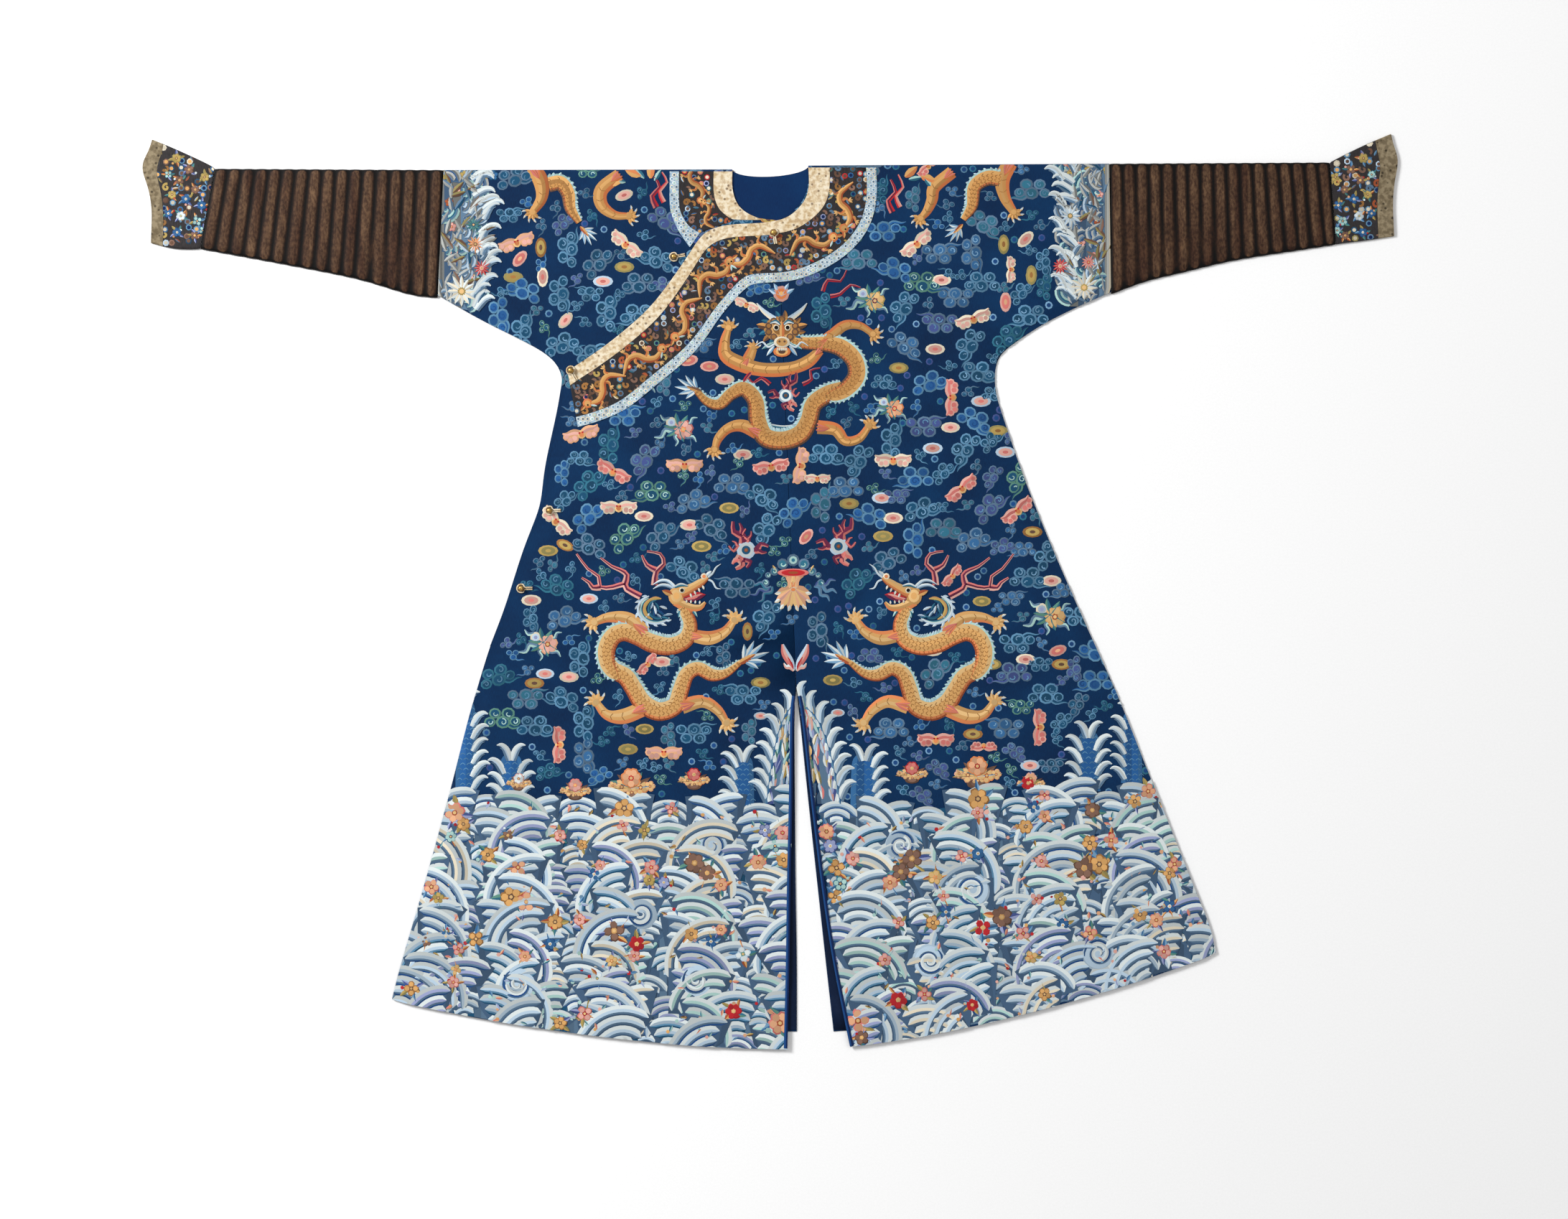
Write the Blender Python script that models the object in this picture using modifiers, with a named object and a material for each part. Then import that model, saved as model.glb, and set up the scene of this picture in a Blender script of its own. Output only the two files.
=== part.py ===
"""A Chinese dragon robe laid flat, front up: 2.0 m across the sleeves and 1.4 m long.

Frame: X across the sleeves, +X to the wearer's left, Y up the robe to the collar, Z up from the
surface that the back lies on. Tables are in millimetres, and a row is one section of the cloth.
"""

import math

import bmesh
import bpy

MM = 0.001
CLOTH = 1.2
TRIM = 1.0
SEAM = 0.3

# Heights of the middle of each layer, stacked from the surface up.
BACK_LEVEL = CLOTH / 2
LINING_LEVEL = CLOTH + SEAM + TRIM / 2
UNDER_LEVEL = LINING_LEVEL + TRIM / 2 + SEAM + CLOTH / 2
OUTER_LEVEL = UNDER_LEVEL + CLOTH + SEAM
UNDER_TRIM_LEVEL = UNDER_LEVEL + CLOTH / 2 + SEAM + TRIM / 2
OUTER_TRIM_LEVEL = OUTER_LEVEL + CLOTH / 2 + SEAM + TRIM / 2
SEWN_LEVEL = BACK_LEVEL + CLOTH + SEAM
EDGE_FALL = 32
HEM_ROUNDNESS = 0.75
EDGE_COLUMNS = (0, 10, 21, 32)
MIDDLE_COLUMNS = 6
FOLD_STEPS = 4

SHARP_TURN = math.radians(40)
ROW_SPACING = 52

# The fold along the shoulders and the tops of the sleeves.
SHOULDER_FOLD = ((-884, 673), (-520, 671), (-60, 672), (61, 678), (540, 681), (892, 683))

# Half widths and depths below the shoulder fold of the arcs round the back of the neck.
NECK_CENTRE = 1
NECK_ARC = (60, 14)
EDGING_ARC = (93, 46)
COLLAR_ARC = (147, 100)
BORDER_ARC = (163, 117)
LINING_ARC = (150, 190)
ARC_ROWS = 8
# The first rows of each half of the body reach the arc, and the later ones the middle seam.
NECK_ROWS = 4
# How far the bands round the neck stay clear of the shoulder fold, as shares of a row.
BAND_CLEARANCE = 0.4
LINING_CLEARANCE = 0.9

# The straight seams down the middle of the front and the back, each from its top to the slit below it.
FRONT_SEAM = ((13, 591), (42, -161))
BACK_SEAM = ((1, 558), (42, -161))

# side_x, side_y, front_x, front_y, back_x, back_y, sewn, bow
LEFT_BODY = (
    (540, 681, 61, 678, 164, 679, 0, 0),
    (541, 613, 61, 655, 152, 634, 0, 0),
    (542, 545, 57, 632, 117, 596, 0, 0),
    (543, 477, 46, 615, 64, 570, 1, 0),
    (484, 451, 31, 601, 1, 558, 1, 0),
    (426, 421, 13, 591, 2, 520, 1, 0),
    (389, 396, 13, 554, 3, 490, 1, 0),
    (366, 378, 15, 485, 5, 450, 1, 0),
    (359, 357, 19, 417, 8, 400, 1, 0),
    (359, 319, 22, 348, 12, 345, 1, 0),
    (371, 279, 26, 279, 16, 280, 1, 0),
    (402, 188, 29, 188, 21, 188, 1, 0),
    (448, 73, 33, 73, 28, 73, 1, 0),
    (503, -53, 38, -53, 35, -53, 1, 0),
    (552, -161, 42, -161, 42, -161, 1, 0),
    (568, -201, 50, -201, 47, -201, 1, 0),
    (618, -327, 64, -327, 60, -327, 1, 0),
    (673, -465, 81, -465, 75, -465, 1, 0),
    (700, -533, 100, -591, 88, -585, 1, -10),
    (710, -575, 127, -725, 101, -701, 1, -20),
)

# side_x, side_y, front_x, front_y, back_x, back_y, sewn, bow
RIGHT_BODY = (
    (-520, 671, -60, 672, -162, 672, 0, 0),
    (-523, 605, -60, 648, -150, 628, 0, 0),
    (-526, 538, -58, 627, -115, 591, 0, 0),
    (-529, 472, -48, 610, -62, 567, 1, 0),
    (-461, 433, -31, 599, 1, 558, 1, 0),
    (-404, 405, -12, 591, 2, 520, 1, 0),
    (-360, 382, 4, 586, 3, 490, 1, 0),
    (-338, 362, 9, 531, 5, 450, 1, 0),
    (-331, 341, 9, 463, 8, 400, 1, 0),
    (-334, 319, 9, 371, 12, 345, 1, 0),
    (-341, 279, 9, 279, 16, 280, 1, 0),
    (-361, 188, 9, 188, 21, 188, 1, 0),
    (-364, 142, 9, 142, 24, 142, 1, 0),
    (-391, 73, 9, 73, 28, 73, 1, 0),
    (-424, -30, 9, -30, 33, -30, 1, 0),
    (-446, -87, 9, -87, 37, -87, 1, 0),
    (-467, -156, 9, -156, 39, -156, 1, 0),
    (-480, -201, 9, -201, 39, -201, 1, 0),
    (-512, -327, 9, -327, 40, -327, 1, 0),
    (-550, -465, 9, -465, 41, -465, 1, 0),
    (-587, -591, 9, -591, 43, -590, 1, -8),
    (-602, -649, 9, -649, 43, -701, 1, -16),
)
UNDER_FRONT_ROWS = 16

# seam_x, seam_y, edge_x, edge_y, sewn, bow
OVERLAP = (
    (13, 591, -12, 588, 0, 0),
    (14, 566, -83, 581, 0, 0),
    (15, 531, -120, 552, 0, 0),
    (17, 491, -156, 499, 0, 0),
    (18, 451, -199, 447, 0, 0),
    (20, 411, -260, 395, 0, 0),
    (21, 371, -312, 359, 0, 0),
    (22, 337, -327, 333, 0.3, 0),
    (26, 279, -336, 279, 0.3, 0),
    (29, 199, -353, 199, 0.3, 0),
    (30, 142, -357, 142, 0.3, 0),
    (33, 73, -388, 73, 0.3, 0),
    (37, -30, -424, -30, 0.3, 0),
    (42, -156, -467, -156, 0.3, 0),
    (38, -201, -480, -201, 1, 0),
    (36, -327, -512, -327, 1, 0),
    (33, -465, -550, -465, 1, 0),
    (31, -602, -587, -591, 1, -9),
    (28, -729, -602, -649, 1, -18),
)

# Soft folds in the skirt and the chest: x and y of each end, height and half width.
SOFT_FOLDS = (
    (-300, 300, -120, 60, 1.2, 50),
    (330, 310, 170, 60, 1.4, 55),
    (-440, -180, -520, -560, 1.6, 50),
    (-300, -200, -330, -640, 1.4, 60),
    (-120, -260, -140, -680, 1.2, 55),
    (230, -240, 280, -660, 1.4, 60),
    (400, -180, 470, -600, 1.6, 55),
    (540, -250, 610, -540, 1.2, 45),
)

# The collar on the overlap, from the left shoulder round to the right underarm:
# inner_x, inner_y, outer_x, outer_y, edging width.
OVERLAP_COLLAR = (
    (61, 675, 169, 675, 34),
    (62, 648, 170, 632, 33),
    (57, 627, 162, 591, 32),
    (44, 609, 139, 553, 28),
    (23, 594, 98, 520, 24),
    (-12, 587, 41, 496, 22),
    (-52, 585, -17, 491, 21),
    (-84, 580, -37, 484, 21),
    (-109, 566, -61, 460, 21),
    (-133, 531, -82, 434, 21),
    (-169, 480, -108, 396, 21),
    (-202, 442, -135, 367, 21),
    (-250, 401, -181, 329, 21),
    (-289, 373, -227, 292, 21),
    (-310, 359, -271, 272, 21),
    (-322, 349, -306, 262, 21),
)
BORDER_WIDTH = 16

# The collar on the under front, from the right shoulder to the overlap's edge:
# neck_x, neck_y, edging_x, edging_y, collar_x, collar_y, border_x, border_y.
UNDER_COLLAR = (
    (-60, 669, -90, 669, -145, 669, -160, 669),
    (-60, 643, -90, 636, -145, 617, -160, 615),
    (-53, 619, -83, 612, -139, 597, -154, 592),
    (-37, 603, -69, 598, -128, 581, -144, 571),
    (-12, 592, -57, 591, -112, 571, -128, 548),
)

# The lining along the vent: its rows of each half of the body, its width, and its edge's place in x and y.
VENT_ROWS = 7
VENT_LINING_WIDTH = 60
VENT_LINING_INSET = (1.2, 3)

# Where the extension of each sleeve begins at the seam and ends at the cuff: top and bottom points.
RIB_COUNT = 17
RIB_HEIGHT = 1.6
RIB_FULLNESS = 0.7
RIB_STATIONS = 4
HOLLOW_STATIONS = 6
SLEEVE_HEIGHT = 4.6
RIGHT_SLEEVE_TOP = ((-520.4, 671), (-884, 673))
RIGHT_SLEEVE_BOTTOM = ((-529.6, 468), (-575, 474), (-661, 499), (-776, 522), (-907, 546))
LEFT_SLEEVE_TOP = ((540.4, 681), (891, 683))
LEFT_SLEEVE_BOTTOM = ((543.5, 474), (598, 494), (655, 508), (741, 528), (856, 546), (901, 553))

# Each cuff from the seam to its flared end: top and bottom points, and how far the end bulges out.
RIGHT_CUFF_TOP = ((-885, 673), (-893, 680), (-947, 705), (-984, 720))
RIGHT_CUFF_BOTTOM = ((-908, 546), (-919, 545), (-950, 546), (-986, 555))
LEFT_CUFF_TOP = ((892, 683), (898, 687), (942, 709), (989, 729))
LEFT_CUFF_BOTTOM = ((902, 553), (915, 555), (948, 559), (994, 566))
CUFF_EDGE_WIDTH = 17
CUFF_STEPS = 6
CUFF_EDGE_STEPS = 2
RIGHT_CUFF_REACH = 16
LEFT_CUFF_REACH = 10
# Share of the way up the cuff's end, and the share of the bulge there.
CUFF_BULGE = ((0, 0), (0.3, -0.08), (0.45, 0.12), (0.57, 0.45), (0.7, 1), (0.8, 0.9), (0.9, 0.25), (1, 0))
# Where the points of a sleeve's ring and of a cuff's ring lie between its two edges.
SLEEVE_RING = (0, 0.12, 0.38, 0.62, 0.88, 1)
CUFF_RING = (0, 0.15, 0.3, 0.45, 0.57, 0.7, 0.8, 0.9, 1)
# How far the corners of a ring are cut, as a share of its rounding.
RING_CORNER = 0.3

BALL_RADIUS = 5
CORD_RADIUS = 1.3
LOOP_LEGS = 18
LOOP_BEND = range(100, 261, 20)
# name, x, y, direction of the loop's legs in degrees, height of the cloth below.
BUTTONS = (
    ("neck", 6, 571, -80, OUTER_TRIM_LEVEL + TRIM / 2),
    ("clavicle", -153, 533, 10, UNDER_LEVEL + CLOTH / 2),
    ("armpit", -317, 352, -60, OUTER_TRIM_LEVEL + TRIM / 2),
    ("side_upper", -351, 129, 0, OUTER_LEVEL + CLOTH / 2),
    ("side_lower", -396, 5, 0, OUTER_LEVEL + CLOTH / 2),
)

COLOURS = {
    "blue_silk": (0.010, 0.045, 0.150, 1),
    "navy_lining": (0.006, 0.030, 0.100, 1),
    "ribbed_brown": (0.105, 0.062, 0.036, 1),
    "black_satin": (0.018, 0.014, 0.014, 1),
    "gold_brocade": (0.760, 0.560, 0.300, 1),
    "pale_braid": (0.560, 0.640, 0.700, 1),
    "gilt": (0.620, 0.420, 0.160, 1),
}


def material(name):
    found = bpy.data.materials.get(name)
    if found:
        return found
    made = bpy.data.materials.new(name)
    made.use_nodes = True
    shader = made.node_tree.nodes["Principled BSDF"]
    shader.inputs["Base Color"].default_value = COLOURS[name]
    shader.inputs["Roughness"].default_value = 0.35 if name == "gilt" else 0.7
    shader.inputs["Metallic"].default_value = 0.8 if name == "gilt" else 0
    made.diffuse_color = COLOURS[name]
    return made


def mix(a, b, share):
    return tuple(p + (q - p) * share for p, q in zip(a, b))


def ease(share):
    share = min(max(share, 0), 1)
    return share * share * (3 - 2 * share)


def along(points, place):
    """The point at this place, in steps between the points, on the straight lines that join them."""
    step = min(int(place), len(points) - 2)
    return mix(points[step], points[step + 1], place - step)


def turns_sharply(before, here, after):
    first = math.atan2(here[1] - before[1], here[0] - before[0])
    second = math.atan2(after[1] - here[1], after[0] - here[0])
    turn = abs((second - first + math.pi) % (2 * math.pi) - math.pi)
    return turn > SHARP_TURN


def tangents(points, i):
    """The slopes on the two sides of a point. They are the same unless the outline has a corner there."""
    here = points[i]
    before = points[max(i - 1, 0)]
    after = points[min(i + 1, len(points) - 1)]
    incoming = tuple(h - b for h, b in zip(here, before))
    outgoing = tuple(a - h for a, h in zip(after, here))
    if before == here or after == here or turns_sharply(before, here, after):
        return incoming, outgoing
    middle = tuple((a - b) / 2 for a, b in zip(after, before))
    return middle, middle


def smooth(points, place):
    """The point at this place on a smooth curve through the points, with its corners kept."""
    i = min(int(place), len(points) - 2)
    t = place - i
    leaving = tangents(points, i)[1]
    arriving = tangents(points, i + 1)[0]
    a = 2 * t**3 - 3 * t**2 + 1
    b = t**3 - 2 * t**2 + t
    c = 3 * t**2 - 2 * t**3
    d = t**3 - t**2
    return tuple(
        a * p + b * m + c * q + d * n
        for p, m, q, n in zip(points[i], leaving, points[i + 1], arriving)
    )


def places(first, second):
    """Where the rows of cloth lie along a pair of edges: close enough to follow both."""
    found = [0.0]
    for i in range(len(first) - 1):
        length = max(math.dist(first[i], first[i + 1]), math.dist(second[i], second[i + 1]))
        steps = max(1, math.ceil(length / ROW_SPACING))
        found += [i + (k + 1) / steps for k in range(steps)]
    return found


def beside_seam(point, seam, side):
    """The point moved in x to lie on its side of a middle seam, where the seam reaches."""
    x, y = point
    (x0, y0), (x1, y1) = seam
    if y1 <= y <= y0:
        x = x0 + (x1 - x0) * (y0 - y) / (y0 - y1)
    return x + side, y


def fold_line(x):
    for (x0, y0), (x1, y1) in zip(SHOULDER_FOLD, SHOULDER_FOLD[1:]):
        if x <= x1:
            break
    return y0 + (y1 - y0) * (x - x0) / (x1 - x0)


def neck_arc(arc, angle):
    """A point of the half ellipse below the shoulder fold. Angle 0 is its wearer's left end."""
    x = NECK_CENTRE + arc[0] * math.cos(angle)
    return x, fold_line(x) - arc[1] * math.sin(angle)


def soft_folds(x, y):
    """How far the soft folds lift the front here."""
    lift = 0
    for x0, y0, x1, y1, height, width in SOFT_FOLDS:
        length = math.dist((x0, y0), (x1, y1))
        share = ((x - x0) * (x1 - x0) + (y - y0) * (y1 - y0)) / length**2
        off = ((x - x0) * (y1 - y0) - (y - y0) * (x1 - x0)) / length
        ends = ease(share * 3) * ease((1 - share) * 3)
        lift += height * ends * math.exp(-((off / width) ** 2))
    return lift


def grid_mesh(name, rows, closed_rows=False, closed_columns=False):
    """A mesh whose points are given row by row. Closed directions meet themselves."""
    shape = bmesh.new()
    count_r = len(rows) - 1 + closed_rows
    count_c = len(rows[0]) - 1 + closed_columns
    bmesh.ops.create_grid(shape, x_segments=count_c, y_segments=count_r, size=0.5)
    shape.verts.ensure_lookup_table()
    for vertex in shape.verts:
        column = round((vertex.co.x + 0.5) * count_c)
        row = round((vertex.co.y + 0.5) * count_r)
        x, y, z = rows[row % len(rows)][column % len(rows[0])]
        vertex.co = (x * MM, y * MM, z * MM)
    if closed_rows or closed_columns:
        bmesh.ops.remove_doubles(shape, verts=shape.verts, dist=0.00001)
        bmesh.ops.recalc_face_normals(shape, faces=shape.faces)
    mesh = bpy.data.meshes.new(name)
    shape.to_mesh(mesh)
    shape.free()
    mesh.shade_smooth()
    return mesh


def add(name, mesh, finish):
    piece = bpy.data.objects.new(name, mesh)
    piece.data.materials.append(material(finish))
    bpy.data.collections["dragon_robe"].objects.link(piece)
    return piece


def add_sheet(name, rows, finish, thickness):
    """Cloth of even thickness on both sides of the rows' surface."""
    piece = add(name, grid_mesh(name, rows), finish)
    solidify = piece.modifiers.new("thickness", "SOLIDIFY")
    solidify.thickness = thickness * MM
    solidify.offset = 0
    solidify.use_rim = True
    return piece


def across(inner, outer):
    """Shares of the way from the inner edge to the outer, closer together where the edge falls."""
    length = math.dist(inner, outer)
    scale = min(1, length / (EDGE_COLUMNS[-1] * 4))
    falls = [1 - d * scale / length for d in reversed(EDGE_COLUMNS)]
    middle = [falls[0] * k / MIDDLE_COLUMNS for k in range(MIDDLE_COLUMNS)]
    return middle + falls


def cloth_row(inner, outer, level, sewn, bow, folds):
    """One row of points across a panel, with its outer edge brought down where it is sewn.

    sewn is how far the edge comes down, bow how far the row's middle lies up the robe, and folds
    how much of the soft folds it takes.
    """
    row = []
    length = math.dist(inner, outer)
    for share in across(inner, outer):
        x, y = mix(inner, outer, share)
        y += bow * max(4 * share * (1 - share), 0) ** HEM_ROUNDNESS
        near_edge = 1 - ease((1 - share) * length / EDGE_FALL)
        z = level - (level - SEWN_LEVEL) * sewn * near_edge
        z += folds * soft_folds(x, y) * (1 - near_edge)
        row.append((x, y, z))
    return row


def fold_rows(inner, outer, level):
    """Rows round the shoulder fold, from the back up to a front at this level."""
    radius = (level - BACK_LEVEL) / 2
    line = [mix(inner, outer, share) for share in across(inner, outer)]
    rows = []
    for k in range(FOLD_STEPS + 1):
        angle = math.pi * k / FOLD_STEPS
        reach = radius * math.sin(angle) - radius
        height = BACK_LEVEL + radius - radius * math.cos(angle)
        rows.append([(x, y + reach, height) for x, y in line])
    return rows


def body(name, table, front_count, front_level, seam_side, arc_start):
    """One half of the robe, cut in one piece: the back, the shoulder fold and the front.

    arc_start is the angle at which the arc round the back of the neck meets the shoulder fold.
    """
    sides = [row[0:2] for row in table]
    fronts = [row[2:4] for row in table]
    backs = [row[4:6] for row in table]
    sewn = [(row[6],) for row in table]
    bows = [(row[7],) for row in table]

    back_rows = []
    for place in places(backs, sides):
        inner = beside_seam(smooth(backs, place), BACK_SEAM, seam_side)
        outer = smooth(sides, place)
        if 0 < place < NECK_ROWS:
            continue
        bow = along(bows, place)[0]
        back_rows.append((inner, outer, bow))
    back_rows = back_rows[1:]
    for k in range(ARC_ROWS - 1, 0, -1):
        inner = neck_arc(BORDER_ARC, arc_start + (math.pi / 2 - arc_start) * k / ARC_ROWS)
        inner = (inner[0] + math.copysign(SEAM, seam_side), inner[1] - SEAM)
        back_rows.insert(0, (inner, smooth(sides, NECK_ROWS * k / ARC_ROWS), 0))

    rows = [
        cloth_row(inner, outer, BACK_LEVEL, 0, bow, 0)
        for inner, outer, bow in reversed(back_rows)
    ]
    behind = fold_rows(backs[0], sides[0], front_level)
    before = fold_rows(fronts[0], sides[0], front_level)
    rows += behind[:1] + before[1:]
    for place in places(fronts[:front_count], sides[:front_count])[1:]:
        inner = beside_seam(smooth(fronts, place), FRONT_SEAM, seam_side)
        outer = smooth(sides, place)
        seam = along(sewn, place)[0]
        bow = along(bows, place)[0]
        rows.append(cloth_row(inner, outer, front_level, seam, bow, 1))
    return add_sheet(name, rows, "blue_silk", CLOTH)


def overlap():
    """The front that crosses over from the middle seam to the right side."""
    seams = [row[0:2] for row in OVERLAP]
    edges = [row[2:4] for row in OVERLAP]
    sewn = [(row[4],) for row in OVERLAP]
    bows = [(row[5],) for row in OVERLAP]
    rows = []
    for place in places(seams, edges):
        seam = along(sewn, place)[0]
        bow = along(bows, place)[0]
        inner = beside_seam(smooth(seams, place), FRONT_SEAM, -SEAM)
        outer = smooth(edges, place)
        rows.append(cloth_row(inner, outer, OUTER_LEVEL, seam, bow, 1))
    return add_sheet("front_overlap", rows, "blue_silk", CLOTH)


def strip(name, inner, outer, level, finish, per_row=3, columns=2, thickness=TRIM):
    """A band of cloth between two smooth lines that have a point in each row."""
    rows = []
    steps = (len(inner) - 1) * per_row
    for k in range(steps + 1):
        place = k / per_row
        a = smooth(inner, place)
        b = smooth(outer, place)
        line = [mix(a, b, c / columns) for c in range(columns + 1)]
        rows.append([(x, y, level + soft_folds(x, y)) for x, y in line])
    return add_sheet(name, rows, finish, thickness)


def toward(start, end, distance):
    return mix(start, end, distance / math.dist(start, end))


def overlap_collar():
    inner = [row[0:2] for row in OVERLAP_COLLAR]
    outer = [row[2:4] for row in OVERLAP_COLLAR]
    widths = [row[4] for row in OVERLAP_COLLAR]
    edging = [toward(a, b, w) for a, b, w in zip(inner, outer, widths)]
    collar = [toward(a, b, w + SEAM) for a, b, w in zip(inner, outer, widths)]
    collar_end = [toward(b, a, BORDER_WIDTH + SEAM) for a, b in zip(inner, outer)]
    border = [toward(b, a, BORDER_WIDTH) for a, b in zip(inner, outer)]
    strip("edging_overlap", inner, edging, OUTER_TRIM_LEVEL, "gold_brocade")
    strip("collar_overlap", collar, collar_end, OUTER_TRIM_LEVEL, "black_satin")
    strip("border_overlap", border, outer, OUTER_TRIM_LEVEL, "pale_braid")


def under_collar():
    for name, column, finish in (
        ("edging_under", 0, "gold_brocade"),
        ("collar_under", 2, "black_satin"),
        ("border_under", 4, "pale_braid"),
    ):
        inner = [row[column : column + 2] for row in UNDER_COLLAR]
        outer = [row[column + 2 : column + 4] for row in UNDER_COLLAR]
        outer = [toward(b, a, SEAM) for a, b in zip(inner, outer)]
        strip(name, inner, outer, UNDER_TRIM_LEVEL, finish)


def arc_points(arc, clear):
    """Points of a half ellipse at even angles, its ends cut back by this share of a step."""
    points = [neck_arc(arc, math.pi / 2 * k / ARC_ROWS) for k in range(2 * ARC_ROWS + 1)]
    points[0] = mix(points[0], points[1], clear)
    points[-1] = mix(points[-1], points[-2], clear)
    return points


def half_ring(name, inner_arc, outer_arc, level, finish, columns, clear=BAND_CLEARANCE, thickness=CLOTH):
    """A band round the back of the neck, between two arcs. It stays clear of the shoulder fold."""
    rows = []
    for a, b in zip(arc_points(inner_arc, clear), arc_points(outer_arc, clear)):
        rows.append([(*mix(a, b, c / columns), level) for c in range(columns + 1)])
    return add_sheet(name, rows, finish, thickness)


def smaller(arc):
    return arc[0] - SEAM, arc[1] - SEAM


def back_collar():
    half_ring("edging_back", NECK_ARC, smaller(EDGING_ARC), BACK_LEVEL, "gold_brocade", 2)
    half_ring("collar_back", EDGING_ARC, smaller(COLLAR_ARC), BACK_LEVEL, "black_satin", 2)
    half_ring("border_back", COLLAR_ARC, smaller(BORDER_ARC), BACK_LEVEL, "pale_braid", 1)


def linings():
    """The lining where it shows: behind the neck, and along both edges of the vent."""
    half_ring("neck_lining", NECK_ARC, LINING_ARC, LINING_LEVEL, "navy_lining", 4, LINING_CLEARANCE, TRIM)
    inset_x, inset_y = VENT_LINING_INSET
    for name, table, side in (("left", LEFT_BODY, 1), ("right", RIGHT_BODY, -1)):
        edge = [(row[4] + side * inset_x, row[5] + inset_y) for row in table[-VENT_ROWS:]]
        far = [(x + side * VENT_LINING_WIDTH, y) for x, y in edge]
        strip("vent_lining_" + name, edge, far, LINING_LEVEL, "navy_lining", 1, 1)


def ring(bottom, top, height, inset, rib, shares=SLEEVE_RING):
    """A flat tube's section, from its bottom edge along the underside to the top edge and back.

    inset is how far the ring lies inside the outer surface, and rib raises only its upper side.
    shares are where its points lie between the two edges.
    """
    round_off = height / 2 - inset
    low = toward(bottom, top, inset)
    high = toward(top, bottom, inset)
    under = [(s, inset) for s in shares]
    over = [(s, height - inset + rib) for s in reversed(shares)]
    inner_low = toward(low, high, round_off)
    inner_high = toward(high, low, round_off)
    corner = RING_CORNER * round_off
    points = [(*mix(inner_low, inner_high, s), z) for s, z in under]
    points.append((*toward(high, low, corner), inset + corner))
    points.append((*toward(high, low, -rib / 2), height / 2))
    points.append((*toward(high, low, corner), height - inset - corner + rib / 2))
    points += [(*mix(inner_low, inner_high, s), z) for s, z in over]
    points.append((*toward(low, high, corner), height - inset - corner + rib / 2))
    points.append((*toward(low, high, -rib / 2), height / 2))
    points.append((*toward(low, high, corner), inset + corner))
    return points


def at_share(points, share):
    """The point on the smooth curve through the points that is this share of the way along x."""
    x = points[0][0] + share * (points[-1][0] - points[0][0])
    for i, ((x0, _), (x1, _)) in enumerate(zip(points, points[1:])):
        if share < 1 and (x - x0) * (x - x1) <= 0:
            return smooth(points, i + (x - x0) / (x1 - x0))
    return points[-1]


def sleeve(name, tops, bottoms):
    """The ribbed extension of a sleeve: evenly spaced ribs outside, a plain hollow inside."""
    count = RIB_COUNT * RIB_STATIONS
    rows = []
    for k in range(count + 1):
        share = k / count
        rib = RIB_HEIGHT * abs(math.sin(math.pi * RIB_COUNT * share)) ** RIB_FULLNESS
        rows.append(ring(at_share(bottoms, share), at_share(tops, share), SLEEVE_HEIGHT, 0, rib))
    for k in range(HOLLOW_STATIONS, -1, -1):
        share = k / HOLLOW_STATIONS
        rows.append(ring(at_share(bottoms, share), at_share(tops, share), SLEEVE_HEIGHT, CLOTH, 0))
    mesh = grid_mesh(name, rows, closed_rows=True, closed_columns=True)
    return add(name, mesh, "ribbed_brown")


def bulge(share):
    for (s0, b0), (s1, b1) in zip(CUFF_BULGE, CUFF_BULGE[1:]):
        if share <= s1:
            break
    return b0 + (b1 - b0) * (share - s0) / (s1 - s0)


def cuff_ring(bottom, top, share, reach, inset, outward):
    """A ring of the cuff. Its points bulge outward with their share of the way to the cuff's end."""
    length = math.dist(bottom, top)
    points = []
    for x, y, z in ring(bottom, top, SLEEVE_HEIGHT, inset, 0, CUFF_RING):
        up = min(max((y - bottom[1]) / length, 0), 1)
        points.append((x + outward * reach * share**2 * bulge(up), y, z))
    return points


def cuff(side, tops, bottoms, outward, reach):
    """A flared cuff and the edging round its end, both open tubes."""
    length = abs(tops[-1][0] - tops[0][0])
    edge = CUFF_EDGE_WIDTH / length
    for name, start, end, finish, steps in (
        ("cuff_" + side, 0, 1 - edge - SEAM / length, "black_satin", CUFF_STEPS),
        ("cuff_edge_" + side, 1 - edge, 1, "gold_brocade", CUFF_EDGE_STEPS),
    ):
        rows = []
        for inset in (0, CLOTH):
            stations = range(steps + 1) if inset == 0 else range(steps, -1, -1)
            for k in stations:
                share = start + (end - start) * k / steps
                top = smooth(tops, share * (len(tops) - 1))
                bottom = smooth(bottoms, share * (len(bottoms) - 1))
                rows.append(cuff_ring(bottom, top, share, reach, inset, outward))
        mesh = grid_mesh(name, rows, closed_rows=True, closed_columns=True)
        add(name, mesh, finish)


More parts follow.
